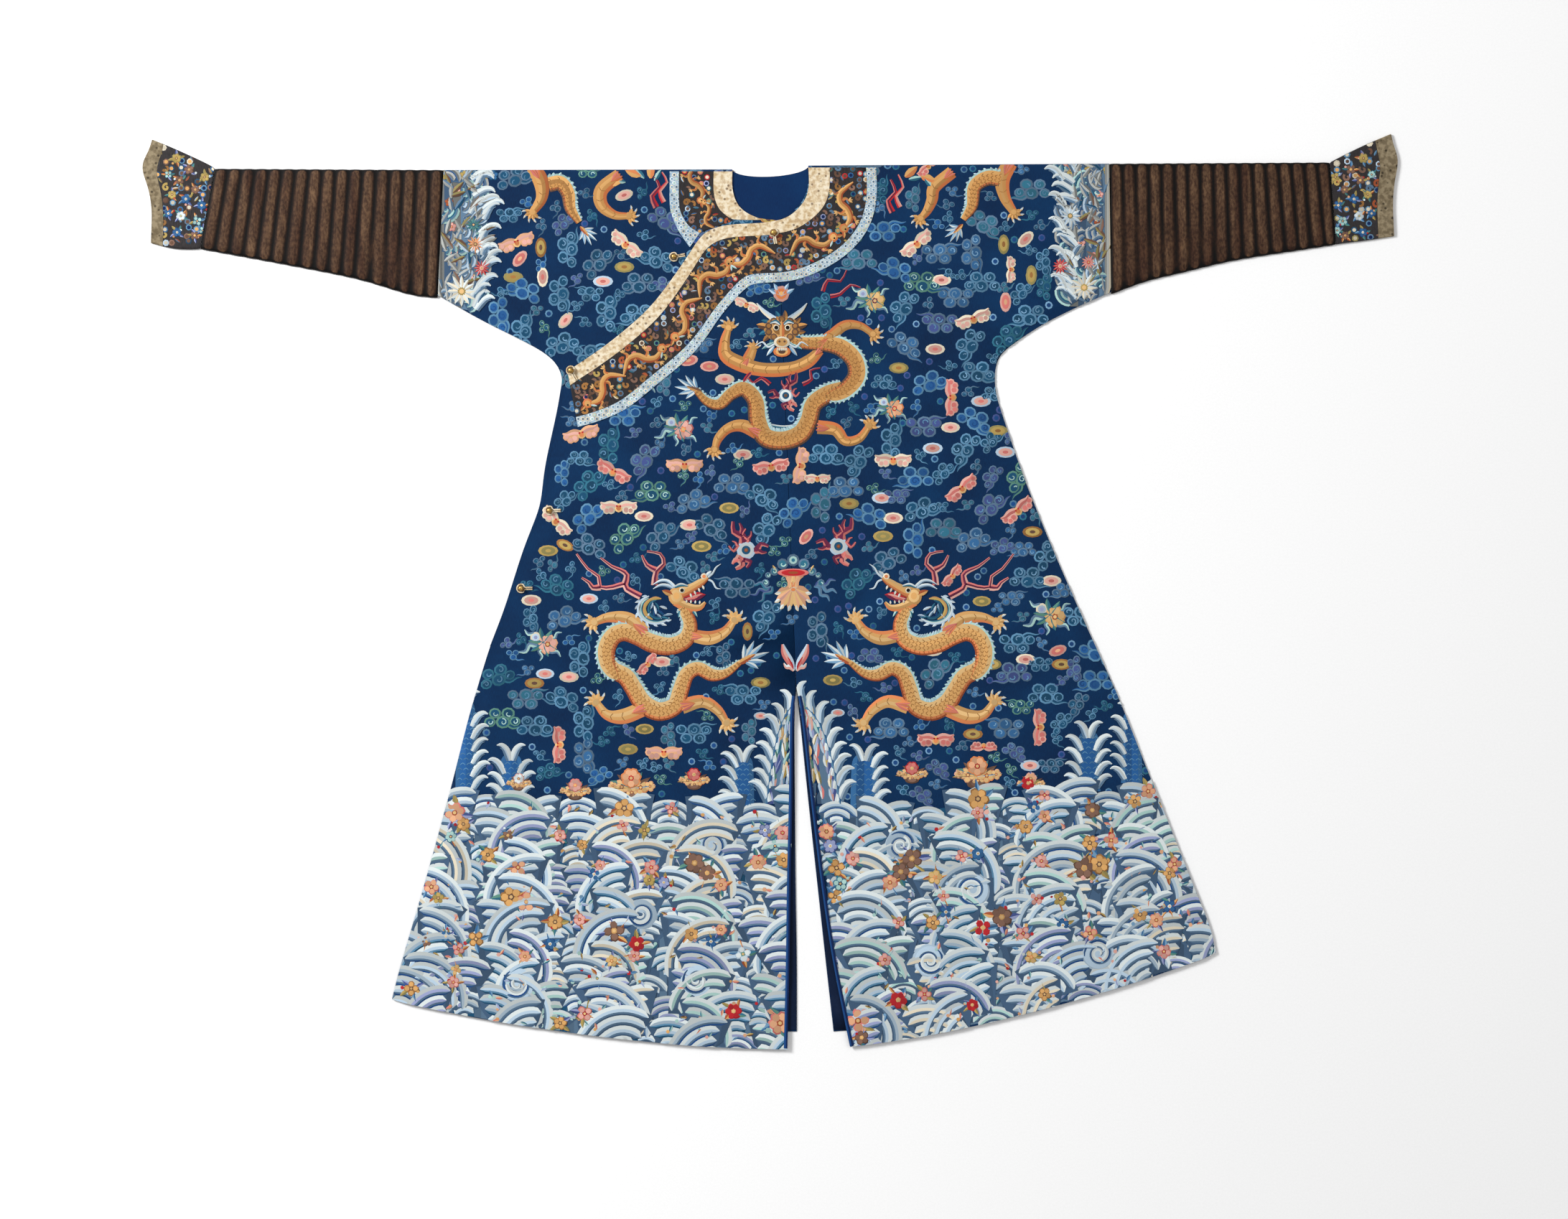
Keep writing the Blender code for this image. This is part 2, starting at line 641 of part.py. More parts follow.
def buttons():
    """Ball buttons, each in a hairpin loop of cord that lies on the cloth."""
    for name, x, y, heading, below in BUTTONS:
        bpy.ops.mesh.primitive_uv_sphere_add(
            segments=12,
            ring_count=8,
            radius=BALL_RADIUS * MM,
            location=(x * MM, y * MM, (below + SEAM + BALL_RADIUS) * MM),
        )
        ball = bpy.context.object
        ball.name = "button_" + name
        ball.data.materials.append(material("gilt"))
        ball.data.shade_smooth()
        bpy.context.collection.objects.unlink(ball)
        bpy.data.collections["dragon_robe"].objects.link(ball)

        curve = bpy.data.curves.new("loop_" + name, "CURVE")
        curve.dimensions = "3D"
        curve.bevel_depth = CORD_RADIUS * MM
        curve.bevel_resolution = 1
        curve.use_fill_caps = True
        line = curve.splines.new("POLY")
        turn = BALL_RADIUS + CORD_RADIUS + SEAM
        bend = [math.radians(a) for a in LOOP_BEND]
        path = [(LOOP_LEGS, CORD_RADIUS + SEAM)]
        path += [(turn * math.cos(a), turn * math.sin(a)) for a in bend]
        path += [(LOOP_LEGS, -CORD_RADIUS - SEAM)]
        line.points.add(len(path) - 1)
        way = math.radians(heading)
        for point, (u, v) in zip(line.points, path):
            px = x + u * math.cos(way) - v * math.sin(way)
            py = y + u * math.sin(way) + v * math.cos(way)
            point.co = (px * MM, py * MM, (below + SEAM + CORD_RADIUS) * MM, 1)
        loop = bpy.data.objects.new("loop_" + name, curve)
        loop.data.materials.append(material("gold_brocade"))
        bpy.data.collections["dragon_robe"].objects.link(loop)


def main():
    for old in list(bpy.data.objects):
        bpy.data.objects.remove(old)
    parts = bpy.data.collections.new("dragon_robe")
    bpy.context.scene.collection.children.link(parts)
    body("body_left", LEFT_BODY, len(LEFT_BODY), OUTER_LEVEL, SEAM, 0)
    body("body_right", RIGHT_BODY, UNDER_FRONT_ROWS, UNDER_LEVEL, -SEAM, math.pi)
    overlap()
    overlap_collar()
    under_collar()
    back_collar()
    linings()
    sleeve("sleeve_left", LEFT_SLEEVE_TOP, LEFT_SLEEVE_BOTTOM)
    sleeve("sleeve_right", RIGHT_SLEEVE_TOP, RIGHT_SLEEVE_BOTTOM)
    cuff("left", LEFT_CUFF_TOP, LEFT_CUFF_BOTTOM, 1, LEFT_CUFF_REACH)
    cuff("right", RIGHT_CUFF_TOP, RIGHT_CUFF_BOTTOM, -1, RIGHT_CUFF_REACH)
    buttons()


main()
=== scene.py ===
import math
import random
from contextlib import contextmanager

import bmesh
import bpy
import numpy as np
from mathutils import Matrix, Vector
from mathutils.bvhtree import BVHTree
from mathutils.kdtree import KDTree


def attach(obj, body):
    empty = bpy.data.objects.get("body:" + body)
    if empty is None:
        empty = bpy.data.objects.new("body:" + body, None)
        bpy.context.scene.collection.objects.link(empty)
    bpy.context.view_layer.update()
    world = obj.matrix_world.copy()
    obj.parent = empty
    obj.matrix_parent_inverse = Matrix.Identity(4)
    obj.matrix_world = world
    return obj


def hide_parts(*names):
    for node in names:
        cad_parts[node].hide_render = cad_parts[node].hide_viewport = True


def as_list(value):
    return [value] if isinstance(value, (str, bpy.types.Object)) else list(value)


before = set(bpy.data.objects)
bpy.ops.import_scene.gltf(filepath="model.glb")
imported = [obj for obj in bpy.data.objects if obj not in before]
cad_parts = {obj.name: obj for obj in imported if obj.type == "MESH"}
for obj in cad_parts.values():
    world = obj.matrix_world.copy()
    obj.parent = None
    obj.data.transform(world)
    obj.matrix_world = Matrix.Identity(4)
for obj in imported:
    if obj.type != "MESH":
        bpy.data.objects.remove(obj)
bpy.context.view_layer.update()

# A dragon robe laid flat: silk shells on the frame's cloth, covered with padded embroidery, on a
# pale floor under soft light. Tables are in millimetres in the frame's axes: X across the sleeves
# with +X to the wearer's left, Y up the robe and Z up from the floor.

MM = 0.001

# ---------------------------------------------------------------- colours and materials

# The flosses, in sRGB from 0 to 255
THREADS = {
    "white": (198, 206, 206),
    "cream": (208, 198, 176),
    "pale": (166, 186, 202),
    "sky": (108, 146, 176),
    "mist": (84, 126, 156),
    "mid": (48, 94, 138),
    "deep": (24, 66, 120),
    "navy": (8, 32, 76),
    "slate": (84, 110, 134),
    "steel": (34, 84, 138),
    "mint": (158, 192, 186),
    "green": (84, 128, 114),
    "teal": (44, 100, 122),
    "dusk": (22, 70, 100),
    "lilac": (140, 148, 184),
    "violet": (62, 76, 128),
    "plum": (98, 34, 62),
    "red": (168, 36, 42),
    "rose": (192, 108, 102),
    "pink": (206, 156, 144),
    "peach": (208, 157, 121),
    "orange": (206, 126, 78),
    "rust": (150, 76, 46),
    "gold": (201, 153, 94),
    "light_gold": (208, 170, 116),
    "dark_gold": (150, 105, 58),
    "amber": (182, 132, 76),
    "copper": (184, 106, 62),
    "ochre": (172, 147, 84),
    "olive": (132, 122, 76),
    "brown": (96, 70, 56),
    "umber": (122, 92, 78),
    "ash": (160, 162, 158),
    "stone": (112, 114, 112),
    "black": (16, 14, 18),
    "shadow": (62, 86, 112),
}
# Each floss comes in three shades.
SHADES = (0.9, 1.0, 1.08)
# Between these heights each rib's groove turns from painted shadow to cloth.
GROOVE_DEPTH = (4.4, 5.75)
# Painted shade by height: near black low in each groove, fading to the cloth's own colour on the crests
GROOVE_PAINTED_SHADE = (
    (0, (60, 44, 36)), (0.04, (16, 12, 11)), (0.5, (34, 27, 24)), (0.74, (150, 132, 116)),
    (1, (255, 250, 240)),
)
# Between these heights the sleeves' flat undersides end, and PLEATS is how close their pleat stripes of
# painted shade are.
UNDER_RIBS = (1.6, 2.4)
PLEATS = 14.5
# How strongly silk and metal mirror the light
SILK_SPECULAR = 0.12
METAL_SPECULAR = 0.5


def linear(colour, shade=1.0):
    """The colour as Blender takes it, from sRGB out of 255."""
    shares = [min(c * shade, 255) / 255 for c in colour]
    return (*(s / 12.92 if s <= 0.04045 else ((s + 0.055) / 1.055) ** 2.4 for s in shares), 1)


class Finish:
    """A Principled material and the nodes that pattern it."""

    def __init__(self, name, roughness, sheen=0.0, metallic=0.0):
        self.material = bpy.data.materials.new(name)
        self.material.use_nodes = True
        self.nodes = self.material.node_tree.nodes
        self.links = self.material.node_tree.links
        self.shader = self.nodes["Principled BSDF"]
        self.shader.inputs["Roughness"].default_value = roughness
        self.shader.inputs["Sheen Weight"].default_value = sheen
        self.shader.inputs["Sheen Roughness"].default_value = 0.45
        self.shader.inputs["Metallic"].default_value = metallic
        self.gloss(METAL_SPECULAR if metallic else SILK_SPECULAR)
        self.place = self.nodes.new("ShaderNodeTexCoord").outputs["Object"]

    def node(self, kind, **inputs):
        """A new node. Each input is a number, a vector or the output that feeds it."""
        node = self.nodes.new("ShaderNode" + kind)
        for name, value in inputs.items():
            self.feed(node.inputs[name.replace("_", " ")], value)
        return node

    def feed(self, socket, value):
        if isinstance(value, bpy.types.NodeSocket):
            self.links.new(value, socket)
        else:
            socket.default_value = value

    def stretched(self, x=1, y=1):
        """The place on the cloth, scaled along each axis."""
        return self.node("Mapping", Vector=self.place, Scale=(x, y, 1)).outputs["Vector"]

    def noise(self, vector, scale, detail=3.0):
        return self.node("TexNoise", Vector=vector, Scale=scale, Detail=detail).outputs["Fac"]

    def waves(self, vector, scale, direction, distortion=0.0):
        node = self.node("TexWave", Vector=vector, Scale=scale, Distortion=distortion, Detail_Scale=1.5)
        node.bands_direction = direction
        return node.outputs["Fac"]

    def cells(self, vector, scale):
        return self.node("TexVoronoi", Vector=vector, Scale=scale).outputs["Distance"]

    def ramp(self, value, stops):
        """Colours by the value. stops are (place, sRGB colour)."""
        node = self.node("ValToRGB", Fac=value)
        elements = node.color_ramp.elements
        while len(elements) < len(stops):
            elements.new(0.5)
        for element, (place, colour) in zip(elements, stops):
            element.position = place
            element.color = linear(colour)
        return node.outputs["Color"]

    def joined(self, first, second, share=0.5, blend="MIX"):
        """Two colours or numbers mixed. share is a number or a socket."""
        node = self.node("Mix")
        node.data_type = "RGBA"
        node.blend_type = blend
        for index, value in ((0, share), (6, first), (7, second)):
            self.feed(node.inputs[index], value)
        return node.outputs[2]

    def risen(self, low, high):
        """How far up a place lies between two heights in millimetres, from 0 to 1."""
        up = self.node("SeparateXYZ", Vector=self.place).outputs["Z"]
        return self.node("MapRange", Value=up, From_Min=low * MM, From_Max=high * MM).outputs["Result"]

    def gloss(self, level):
        self.shader.inputs["Specular IOR Level"].default_value = level

    def colour(self, socket):
        self.links.new(socket, self.shader.inputs["Base Color"])

    def rough(self, value, low, high):
        node = self.node("MapRange", Value=value, To_Min=low, To_Max=high)
        self.links.new(node.outputs["Result"], self.shader.inputs["Roughness"])

    def bump(self, value, height, strength=0.6):
        """height is in millimetres."""
        node = self.node("Bump", Height=value, Distance=height * MM, Strength=strength)
        self.links.new(node.outputs["Normal"], self.shader.inputs["Normal"])


# A colour that leaves what it is multiplied with as it is
UNDYED = (255, 255, 255)


def silk(name, dark, middle, light):
    """Ground cloth: fine twill, cloudy wear and a soft sheen."""
    finish = Finish(name, 0.6)
    clouds = finish.noise(finish.stretched(), 9, 5)
    threads = finish.noise(finish.stretched(900, 140), 1, 2)
    cloudy = finish.ramp(clouds, ((0.3, dark), (0.52, middle), (0.75, light)))
    woven = finish.ramp(threads, ((0.25, dark), (0.5, middle), (0.8, light)))
    finish.colour(finish.joined(cloudy, woven, 0.4))
    twill = finish.waves(finish.stretched(1, 0.6), 420, "DIAGONAL", 0.6)
    finish.rough(clouds, 0.48, 0.66)
    finish.bump(finish.joined(twill, threads, 0.5), 0.12)
    return finish.material


def brocade(name, dark, middle, light, speck):
    """Figured silk with small dark specks."""
    finish = Finish(name, 0.5, sheen=0.03)
    figures = finish.noise(finish.stretched(), 150, 2)
    wear = finish.noise(finish.stretched(), 30, 4)
    threads = finish.noise(finish.stretched(500, 500), 1, 2)
    spots = finish.cells(finish.stretched(), 95)
    ground = finish.ramp(figures, ((0.4, dark), (0.5, middle), (0.6, light)))
    worn = finish.ramp(wear, ((0.35, middle), (0.65, light)))
    dots = finish.ramp(spots, ((0.14, speck), (0.24, UNDYED)))
    finish.colour(finish.joined(finish.joined(ground, worn, 0.4), dots, 0.75, "MULTIPLY"))
    finish.rough(threads, 0.42, 0.62)
    finish.bump(finish.joined(figures, threads, 0.4), 0.25)
    return finish.material


def ribbed():
    """Brown silk gathered in ribs: painted shade darkens each groove by height, the crests keep the tan
    dye, and stripes of painted shade stand for each pleat below.
    """
    finish = Finish("ribbed_brown_cloth", 0.6, sheen=0.03)
    streaks = finish.noise(finish.stretched(130, 34), 1, 3)
    flecks = finish.noise(finish.stretched(330, 160), 1, 2)
    bolts = finish.noise(finish.stretched(46, 5), 1, 2)
    folds = finish.waves(finish.stretched(1, 0.001), PLEATS, "X", 0.6)
    browns = finish.ramp(streaks, ((0.3, (52, 34, 26)), (0.5, (76, 54, 43)), (0.7, (110, 86, 69))))
    tints = finish.ramp(flecks, ((0.4, (48, 34, 27)), (0.62, (114, 92, 72))))
    wear = finish.ramp(bolts, ((0.36, (190, 168, 160)), (0.6, (255, 250, 240))))
    # Painted shade: dark stripes stand for each pleat on the flat underside
    pleat_painted_shade = finish.ramp(folds, ((0.12, (46, 38, 34)), (0.4, (255, 248, 240))))
    # Painted shade: each groove darkened by its height
    groove_painted_shade = finish.ramp(finish.risen(*GROOVE_DEPTH), GROOVE_PAINTED_SHADE)
    shadow = finish.joined(pleat_painted_shade, groove_painted_shade, finish.risen(*UNDER_RIBS))
    finish.gloss(0.15)
    dyed = finish.joined(finish.joined(browns, tints, 0.4), wear, 1, "MULTIPLY")
    finish.colour(finish.joined(dyed, shadow, 1, "MULTIPLY"))
    finish.rough(streaks, 0.5, 0.7)
    finish.bump(streaks, 0.4, 0.5)
    return finish.material


def satin(name, dark, light):
    """Plain dark satin."""
    finish = Finish(name, 0.45, sheen=0.04)
    finish.gloss(0.3)
    threads = finish.noise(finish.stretched(700, 120), 1, 2)
    finish.colour(finish.ramp(threads, ((0.3, dark), (0.7, light))))
    finish.rough(threads, 0.38, 0.55)
    finish.bump(threads, 0.1)
    return finish.material


def metal(name, dark, light):
    """Worn gilt."""
    finish = Finish(name, 0.3, metallic=0.85)
    wear = finish.noise(finish.stretched(), 420, 4)
    finish.colour(finish.ramp(wear, ((0.35, dark), (0.62, light))))
    finish.rough(wear, 0.25, 0.5)
    finish.bump(wear, 0.15)
    return finish.material


def braid():
    """Pale blue and white cord couched side by side."""
    finish = Finish("pale_braid_cloth", 0.55, sheen=0.03)
    cords = finish.noise(finish.stretched(260, 260), 1, 3)
    blues = ((0.3, (108, 138, 166)), (0.5, (158, 182, 198)), (0.7, (200, 210, 212)))
    finish.colour(finish.ramp(cords, blues))
    finish.rough(cords, 0.5, 0.65)
    finish.bump(cords, 0.3)
    return finish.material


def thread(name):
    """Floss of one dyed shade, laid in fine parallel stitches."""
    found = bpy.data.materials.get("thread_" + name)
    if found:
        return found
    base, step = name.rsplit("_", 1)
    finish = Finish("thread_" + name, 0.5, sheen=0.03)
    finish.shader.inputs["Base Color"].default_value = linear(THREADS[base], SHADES[int(step)])
    stitches = finish.waves(finish.stretched(1, 0.8), 330, "DIAGONAL", 1.2)
    fuzz = finish.noise(finish.stretched(), 700, 2)
    finish.rough(fuzz, 0.4, 0.62)
    finish.bump(finish.joined(stitches, fuzz, 0.4), 0.16)
    return finish.material


SILK = silk("blue_silk_cloth", (0, 27, 60), (0, 40, 78), (4, 54, 96))
LINING = silk("navy_lining_cloth", (0, 32, 74), (0, 42, 86), (4, 52, 98))
BROCADE = brocade("gold_brocade_cloth", (170, 136, 92), (210, 188, 150), (232, 220, 196), (104, 80, 62))
CUFF_BROCADE = brocade("worn_brocade_cloth", (84, 72, 52), (118, 104, 80), (146, 132, 106), (56, 48, 40))
RIBBED = ribbed()
SATIN = satin("black_satin_cloth", (20, 17, 18), (44, 38, 40))
BRAID = braid()
GILT = metal("worn_gilt", (122, 86, 40), (222, 180, 104))

# ---------------------------------------------------------------- cloth

CLOTH_SLOTS = {
    "blue_silk": SILK,
    "navy_lining": LINING,
    "gold_brocade": BROCADE,
    "black_satin": SATIN,
    "pale_braid": BRAID,
    "ribbed_brown": RIBBED,
}
WELD = 0.00001
SHARP = math.radians(40)
# The robe's underside is drawn in by this much, which leaves room for the embroidery below it.
UNDERSIDE = 0.55
UNDERSIDE_BLEND = 0.5
# The creases lift the cloth above this height, in full from CREASED_BLEND higher.
CREASED_FROM = 2
CREASED_BLEND = 1.5
# A crease fades in over a third of its length at either end, and bows by this share of its length.
CREASE_FADE = 3
CREASE_BOW = 0.12
# Creases in the fronts, as soft ridges: x and y of each end, height and half width
CREASES = (
    (-500, 560, -330, 450, 0.9, 16), (-470, 500, -360, 420, 0.6, 11), (-420, 640, -250, 540, 0.5, 18),
    (-350, 420, -240, 470, 0.7, 13), (-330, 330, -190, 300, 0.6, 15), (-320, 250, -170, 200, 0.4, 20),
    (520, 560, 370, 470, 0.9, 15), (480, 500, 390, 430, 0.6, 12), (440, 640, 280, 560, 0.5, 19),
    (365, 410, 270, 450, 0.7, 12), (350, 330, 230, 310, 0.6, 16), (360, 260, 220, 190, 0.4, 22),
    (-60, 430, 60, 400, 0.3, 17), (-180, 120, -90, -60, 0.4, 20), (120, 140, 90, -40, 0.5, 18),
    (200, 60, 260, -120, 0.5, 22), (-380, 40, -420, -120, 0.6, 17), (470, 10, 520, -150, 0.6, 18),
    (-420, -250, -470, -560, 0.9, 19), (-520, -330, -560, -570, 0.6, 14),
    (-250, -330, -270, -660, 0.7, 22), (-160, -380, -190, -690, 0.6, 17),
    (-60, -300, -60, -680, 0.6, 15), (130, -330, 160, -690, 0.6, 16), (200, -370, 240, -680, 0.7, 20),
    (330, -290, 380, -640, 0.8, 22), (470, -300, 530, -600, 0.9, 18), (580, -340, 640, -570, 0.6, 15),
)


def ease(share):
    """0 to 1 as the share goes from 0 to 1, soft at both ends."""
    share = np.clip(share, 0, 1)
    return share * share * (3 - 2 * share)


def creases(x, y):
    """How far the creases lift the fronts at these places."""
    lift = 0
    for x0, y0, x1, y1, height, width in CREASES:
        length = math.dist((x0, y0), (x1, y1))
        along = ((x - x0) * (x1 - x0) + (y - y0) * (y1 - y0)) / length**2
        off = ((x - x0) * (y1 - y0) - (y - y0) * (x1 - x0)) / length
        off = off + CREASE_BOW * length * np.sin(3 * along)
        fade = ease(along * CREASE_FADE) * ease((1 - along) * CREASE_FADE)
        lift = lift + height * fade * np.exp(-((off / width) ** 2))
    return lift


def link(piece):
    """Puts a new object in the scene."""
    bpy.context.scene.collection.objects.link(piece)
    return piece


def coordinates(mesh):
    """The mesh's points in millimetres."""
    flat = np.empty(len(mesh.vertices) * 3)
    mesh.vertices.foreach_get("co", flat)
    return flat.reshape(-1, 3) / MM


def set_coordinates(mesh, points):
    mesh.vertices.foreach_set("co", (points * MM).ravel())
    mesh.update()


# The straight seam down the front, which the slit continues, and each side's distance from it
SEAM_TOP = (13, 591)
SEAM_END = (42, -161)
SEAM_SIDES = {"body_left": 0.3, "front_overlap": -0.3}
SEAM_REACH = 4


def seam_closed(points, side):
    """Brings the points near the front's seam up to it."""
    x, y, _ = points.T
    line = side + np.interp(-y, (-SEAM_TOP[1], -SEAM_END[1]), (SEAM_TOP[0], SEAM_END[0]))
    near = (y > SEAM_END[1]) & (y < SEAM_TOP[1]) & (np.abs(x - line) < SEAM_REACH)
    points[:, 0] = np.where(near, line, x)


def fine_cloth(name, node, slot, levels=2):
    """The cloth of one solid again as a smooth shell, with its creases."""
    shape = bmesh.new()
    shape.from_mesh(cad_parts[node].data)
    bmesh.ops.remove_doubles(shape, verts=shape.verts, dist=WELD)
    bmesh.ops.join_triangles(
        shape, faces=shape.faces, angle_face_threshold=SHARP, angle_shape_threshold=math.pi
    )
    sharpness = shape.edges.layers.float.new("crease_edge")
    for edge in shape.edges:
        edge[sharpness] = float(edge.calc_face_angle(0) > SHARP)
    coarse = bpy.data.meshes.new(name)
    shape.to_mesh(coarse)
    shape.free()
    piece = link(bpy.data.objects.new(name, coarse))
    surface = piece.modifiers.new("fine", "SUBSURF")
    surface.levels = surface.render_levels = levels
    graph = bpy.context.evaluated_depsgraph_get()
    mesh = bpy.data.meshes.new_from_object(piece.evaluated_get(graph))
    piece.modifiers.clear()
    piece.data = mesh
    bpy.data.meshes.remove(coarse)

    points = coordinates(mesh)
    x, y, z = points.T
    creased = ease((z - CREASED_FROM) / CREASED_BLEND)
    low = ease((UNDERSIDE + UNDERSIDE_BLEND / 2 - z) / UNDERSIDE_BLEND)
    points[:, 2] = z + creased * creases(x, y) + low * np.maximum(UNDERSIDE - z, 0)
    if node in SEAM_SIDES:
        seam_closed(points, SEAM_SIDES[node])
    set_coordinates(mesh, points)
    mesh.materials.clear()
    mesh.materials.append(CLOTH_SLOTS[slot])
    mesh.shade_smooth()
    mesh.set_sharp_from_angle(angle=SHARP)
    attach(piece, "root")
    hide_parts(node)
    return piece


# ---------------------------------------------------------------- where the embroidery lies

GRID = 4
GRID_X = np.arange(-1010, 1011, GRID)
GRID_Y = np.arange(-740, 741, GRID)
# The rays that measure the cloth start this far off it, in metres.
HIGH = 0.05
# A face belongs to a side when its normal rises at least this much.
FACING = 0.6
# How far a panel's heights spread past its cloth, in steps of the grid
SPREAD = 4
# The heights of the faces that each kind of panel starts from
TOP_LEAST = 2.2
BACK_LEAST = 0.9
CUFF_LEAST = 1.6
# Points are compared with a panel's edges in batches, to save memory.
INSIDE_BATCH = 20000
NEAREST_BATCH = 5000
NEIGHBOURS = [(i, j) for i in (-1, 0, 1) for j in (-1, 0, 1)]


class Panel:
    """One side of some pieces of cloth: its outline and its height.

    up is 1 above and -1 below, and top is a panel that has the same heights already.
    """

    def __init__(self, nodes, up=1, least=TOP_LEAST, top=None):
        pieces = [shells[node] for node in nodes]
        self.up = up
        self.outlines = [self.outline(piece, least) for piece in pieces]
        self.starts = np.vstack([starts for starts, _ in self.outlines])
        self.ends = np.vstack([ends for _, ends in self.outlines])
        self.low = self.starts.min(0)
        self.high = self.starts.max(0)
        self.heights = top.heights if top else self.height_map(pieces)

    def outline(self, piece, least):
        """The edges round a piece's faces that look this way, as arrays of their two ends."""
        counts = {}
        points = piece.data.vertices
        for face in piece.data.polygons:
            depth = face.center.z / MM
            shown = depth > least if self.up > 0 else depth < least
            if face.normal.z * self.up > FACING and shown:
                for key in face.edge_keys:
                    counts[key] = counts.get(key, 0) + 1
        edges = [key for key, count in counts.items() if count == 1]
        starts = np.array([points[a].co.xy for a, _ in edges]) / MM
        ends = np.array([points[b].co.xy for _, b in edges]) / MM
        return starts, ends

    def height_map(self, pieces):
        """Heights on a square grid, spread a little past the edges of the cloth."""
        trees = []
        for piece in pieces:
            points = [v.co for v in piece.data.vertices]
            trees.append(BVHTree.FromPolygons(points, [p.vertices for p in piece.data.polygons]))
        heights = np.full((len(GRID_Y), len(GRID_X)), np.nan)
        down = Vector((0, 0, -self.up))
        for i, y in enumerate(GRID_Y):
            if not self.low[1] - GRID < y < self.high[1] + GRID:
                continue
            for j, x in enumerate(GRID_X):
                if not self.low[0] - GRID < x < self.high[0] + GRID:
                    continue
                start = Vector((x * MM, y * MM, self.up * HIGH))
                hits = [tree.ray_cast(start, down)[0] for tree in trees]
                found = [self.up * hit.z / MM for hit in hits if hit]
                if found:
                    heights[i, j] = self.up * max(found)
        for _ in range(SPREAD):
            around = np.stack([np.roll(heights, s, a) for s in (-1, 1) for a in (0, 1)])
            known = ~np.isnan(around)
            count = known.sum(0)
            mean = np.where(known, around, 0).sum(0) / np.maximum(count, 1)
            heights = np.where(np.isnan(heights) & (count > 0), mean, heights)
        heights = np.nan_to_num(heights, nan=float(np.nanmean(heights)))
        raised = self.up * np.max([self.up * np.roll(heights, by, (0, 1)) for by in NEIGHBOURS], 0)
        return np.mean([np.roll(raised, by, (0, 1)) for by in NEIGHBOURS], 0)

    def height(self, x, y):
        """The height of the cloth at these places, between the points of the grid."""
        i = np.clip((y - GRID_Y[0]) / GRID, 0, len(GRID_Y) - 1.001)
        j = np.clip((x - GRID_X[0]) / GRID, 0, len(GRID_X) - 1.001)
        i0, j0 = i.astype(int), j.astype(int)
        u, v = i - i0, j - j0
        h = self.heights
        near = h[i0, j0] * (1 - v) + h[i0, j0 + 1] * v
        far = h[i0 + 1, j0] * (1 - v) + h[i0 + 1, j0 + 1] * v
        return near * (1 - u) + far * u

    def inside(self, points):
        """Whether each point is within the outline of any of the pieces."""
        result = np.zeros(len(points), bool)
        for starts, ends in self.outlines:
            (ax, ay), (bx, by) = starts.T, ends.T
            slope = (bx - ax) / np.where(by == ay, 1e-9, by - ay)
            for start in range(0, len(points), INSIDE_BATCH):
                batch = slice(start, start + INSIDE_BATCH)
                x, y = points[batch].T[:, :, None]
                crossed = ((ay > y) != (by > y)) & (x < ax + (y - ay) * slope)
                result[batch] |= crossed.sum(1) % 2 == 1
        return result

    def holds(self, x, y):
        """Whether one place is within the outline."""
        return self.inside(np.array([(x, y)]))[0]

    def pulled_in(self, points):
        """The same points, with those outside moved to the nearest edge."""
        outside = np.flatnonzero(~self.inside(points))
        way = self.ends - self.starts
        length = np.maximum((way**2).sum(1), 1e-9)
        for start in range(0, len(outside), NEAREST_BATCH):
            part = outside[start : start + NEAREST_BATCH]
            off = points[part][:, None] - self.starts
            share = np.clip((off * way).sum(2) / length, 0, 1)
            near = self.starts + way * share[:, :, None]
            distance = ((points[part][:, None] - near) ** 2).sum(2)
            points[part] = near[np.arange(len(part)), distance.argmin(1)]
        return points


# ---------------------------------------------------------------- stitches

# The heights of a padded band's lines, from edge to edge
DOME = (-0.15, 0.45, 0.45, -0.15)
# Faces smaller than this, in square millimetres, are left out.
SMALLEST_FACE = 0.03
THINNEST = 0.15
# Stitches on the underside are pressed flat: how far the highest come, and how soon.
LOW_ROOM = 0.5
LOW_SOFTNESS = 2.2


def curve(points, steps=6):
    """A smooth line through given points. Each has x, y and half width."""
    p = np.array(points, float)
    p = np.vstack([2 * p[0] - p[1], p, 2 * p[-1] - p[-2]])
    t = np.linspace(0, 1, steps, endpoint=False)[:, None]
    spans = [
        0.5 * (2 * b + (c - a) * t + (2 * a - 5 * b + 4 * c - d) * t**2 + (3 * b - a - 3 * c + d) * t**3)
        for a, b, c, d in zip(p, p[1:], p[2:], p[3:])
    ]
    line = np.vstack([*spans, p[-2:-1]])
    line[:, 2] = np.maximum(line[:, 2], THINNEST)
    return line


def heading_of(way):
    """The direction of a way, in degrees."""
    return math.degrees(math.atan2(way[1], way[0]))


def steps_along(line, first, pitch, spare=0):
    """Evenly spaced x, y, half width and heading along a line, up to spare before its end."""
    step = np.hypot(*np.diff(line[:, :2], axis=0).T)
    travelled = np.concatenate([[0], step.cumsum()])
    for at in np.arange(first, travelled[-1] - spare, pitch):
        x, y, w = (np.interp(at, travelled, line[:, c]) for c in range(3))
        ax, ay = (np.interp(at + 1, travelled, line[:, c]) for c in range(2))
        yield x, y, w, heading_of((ax - x, ay - y))


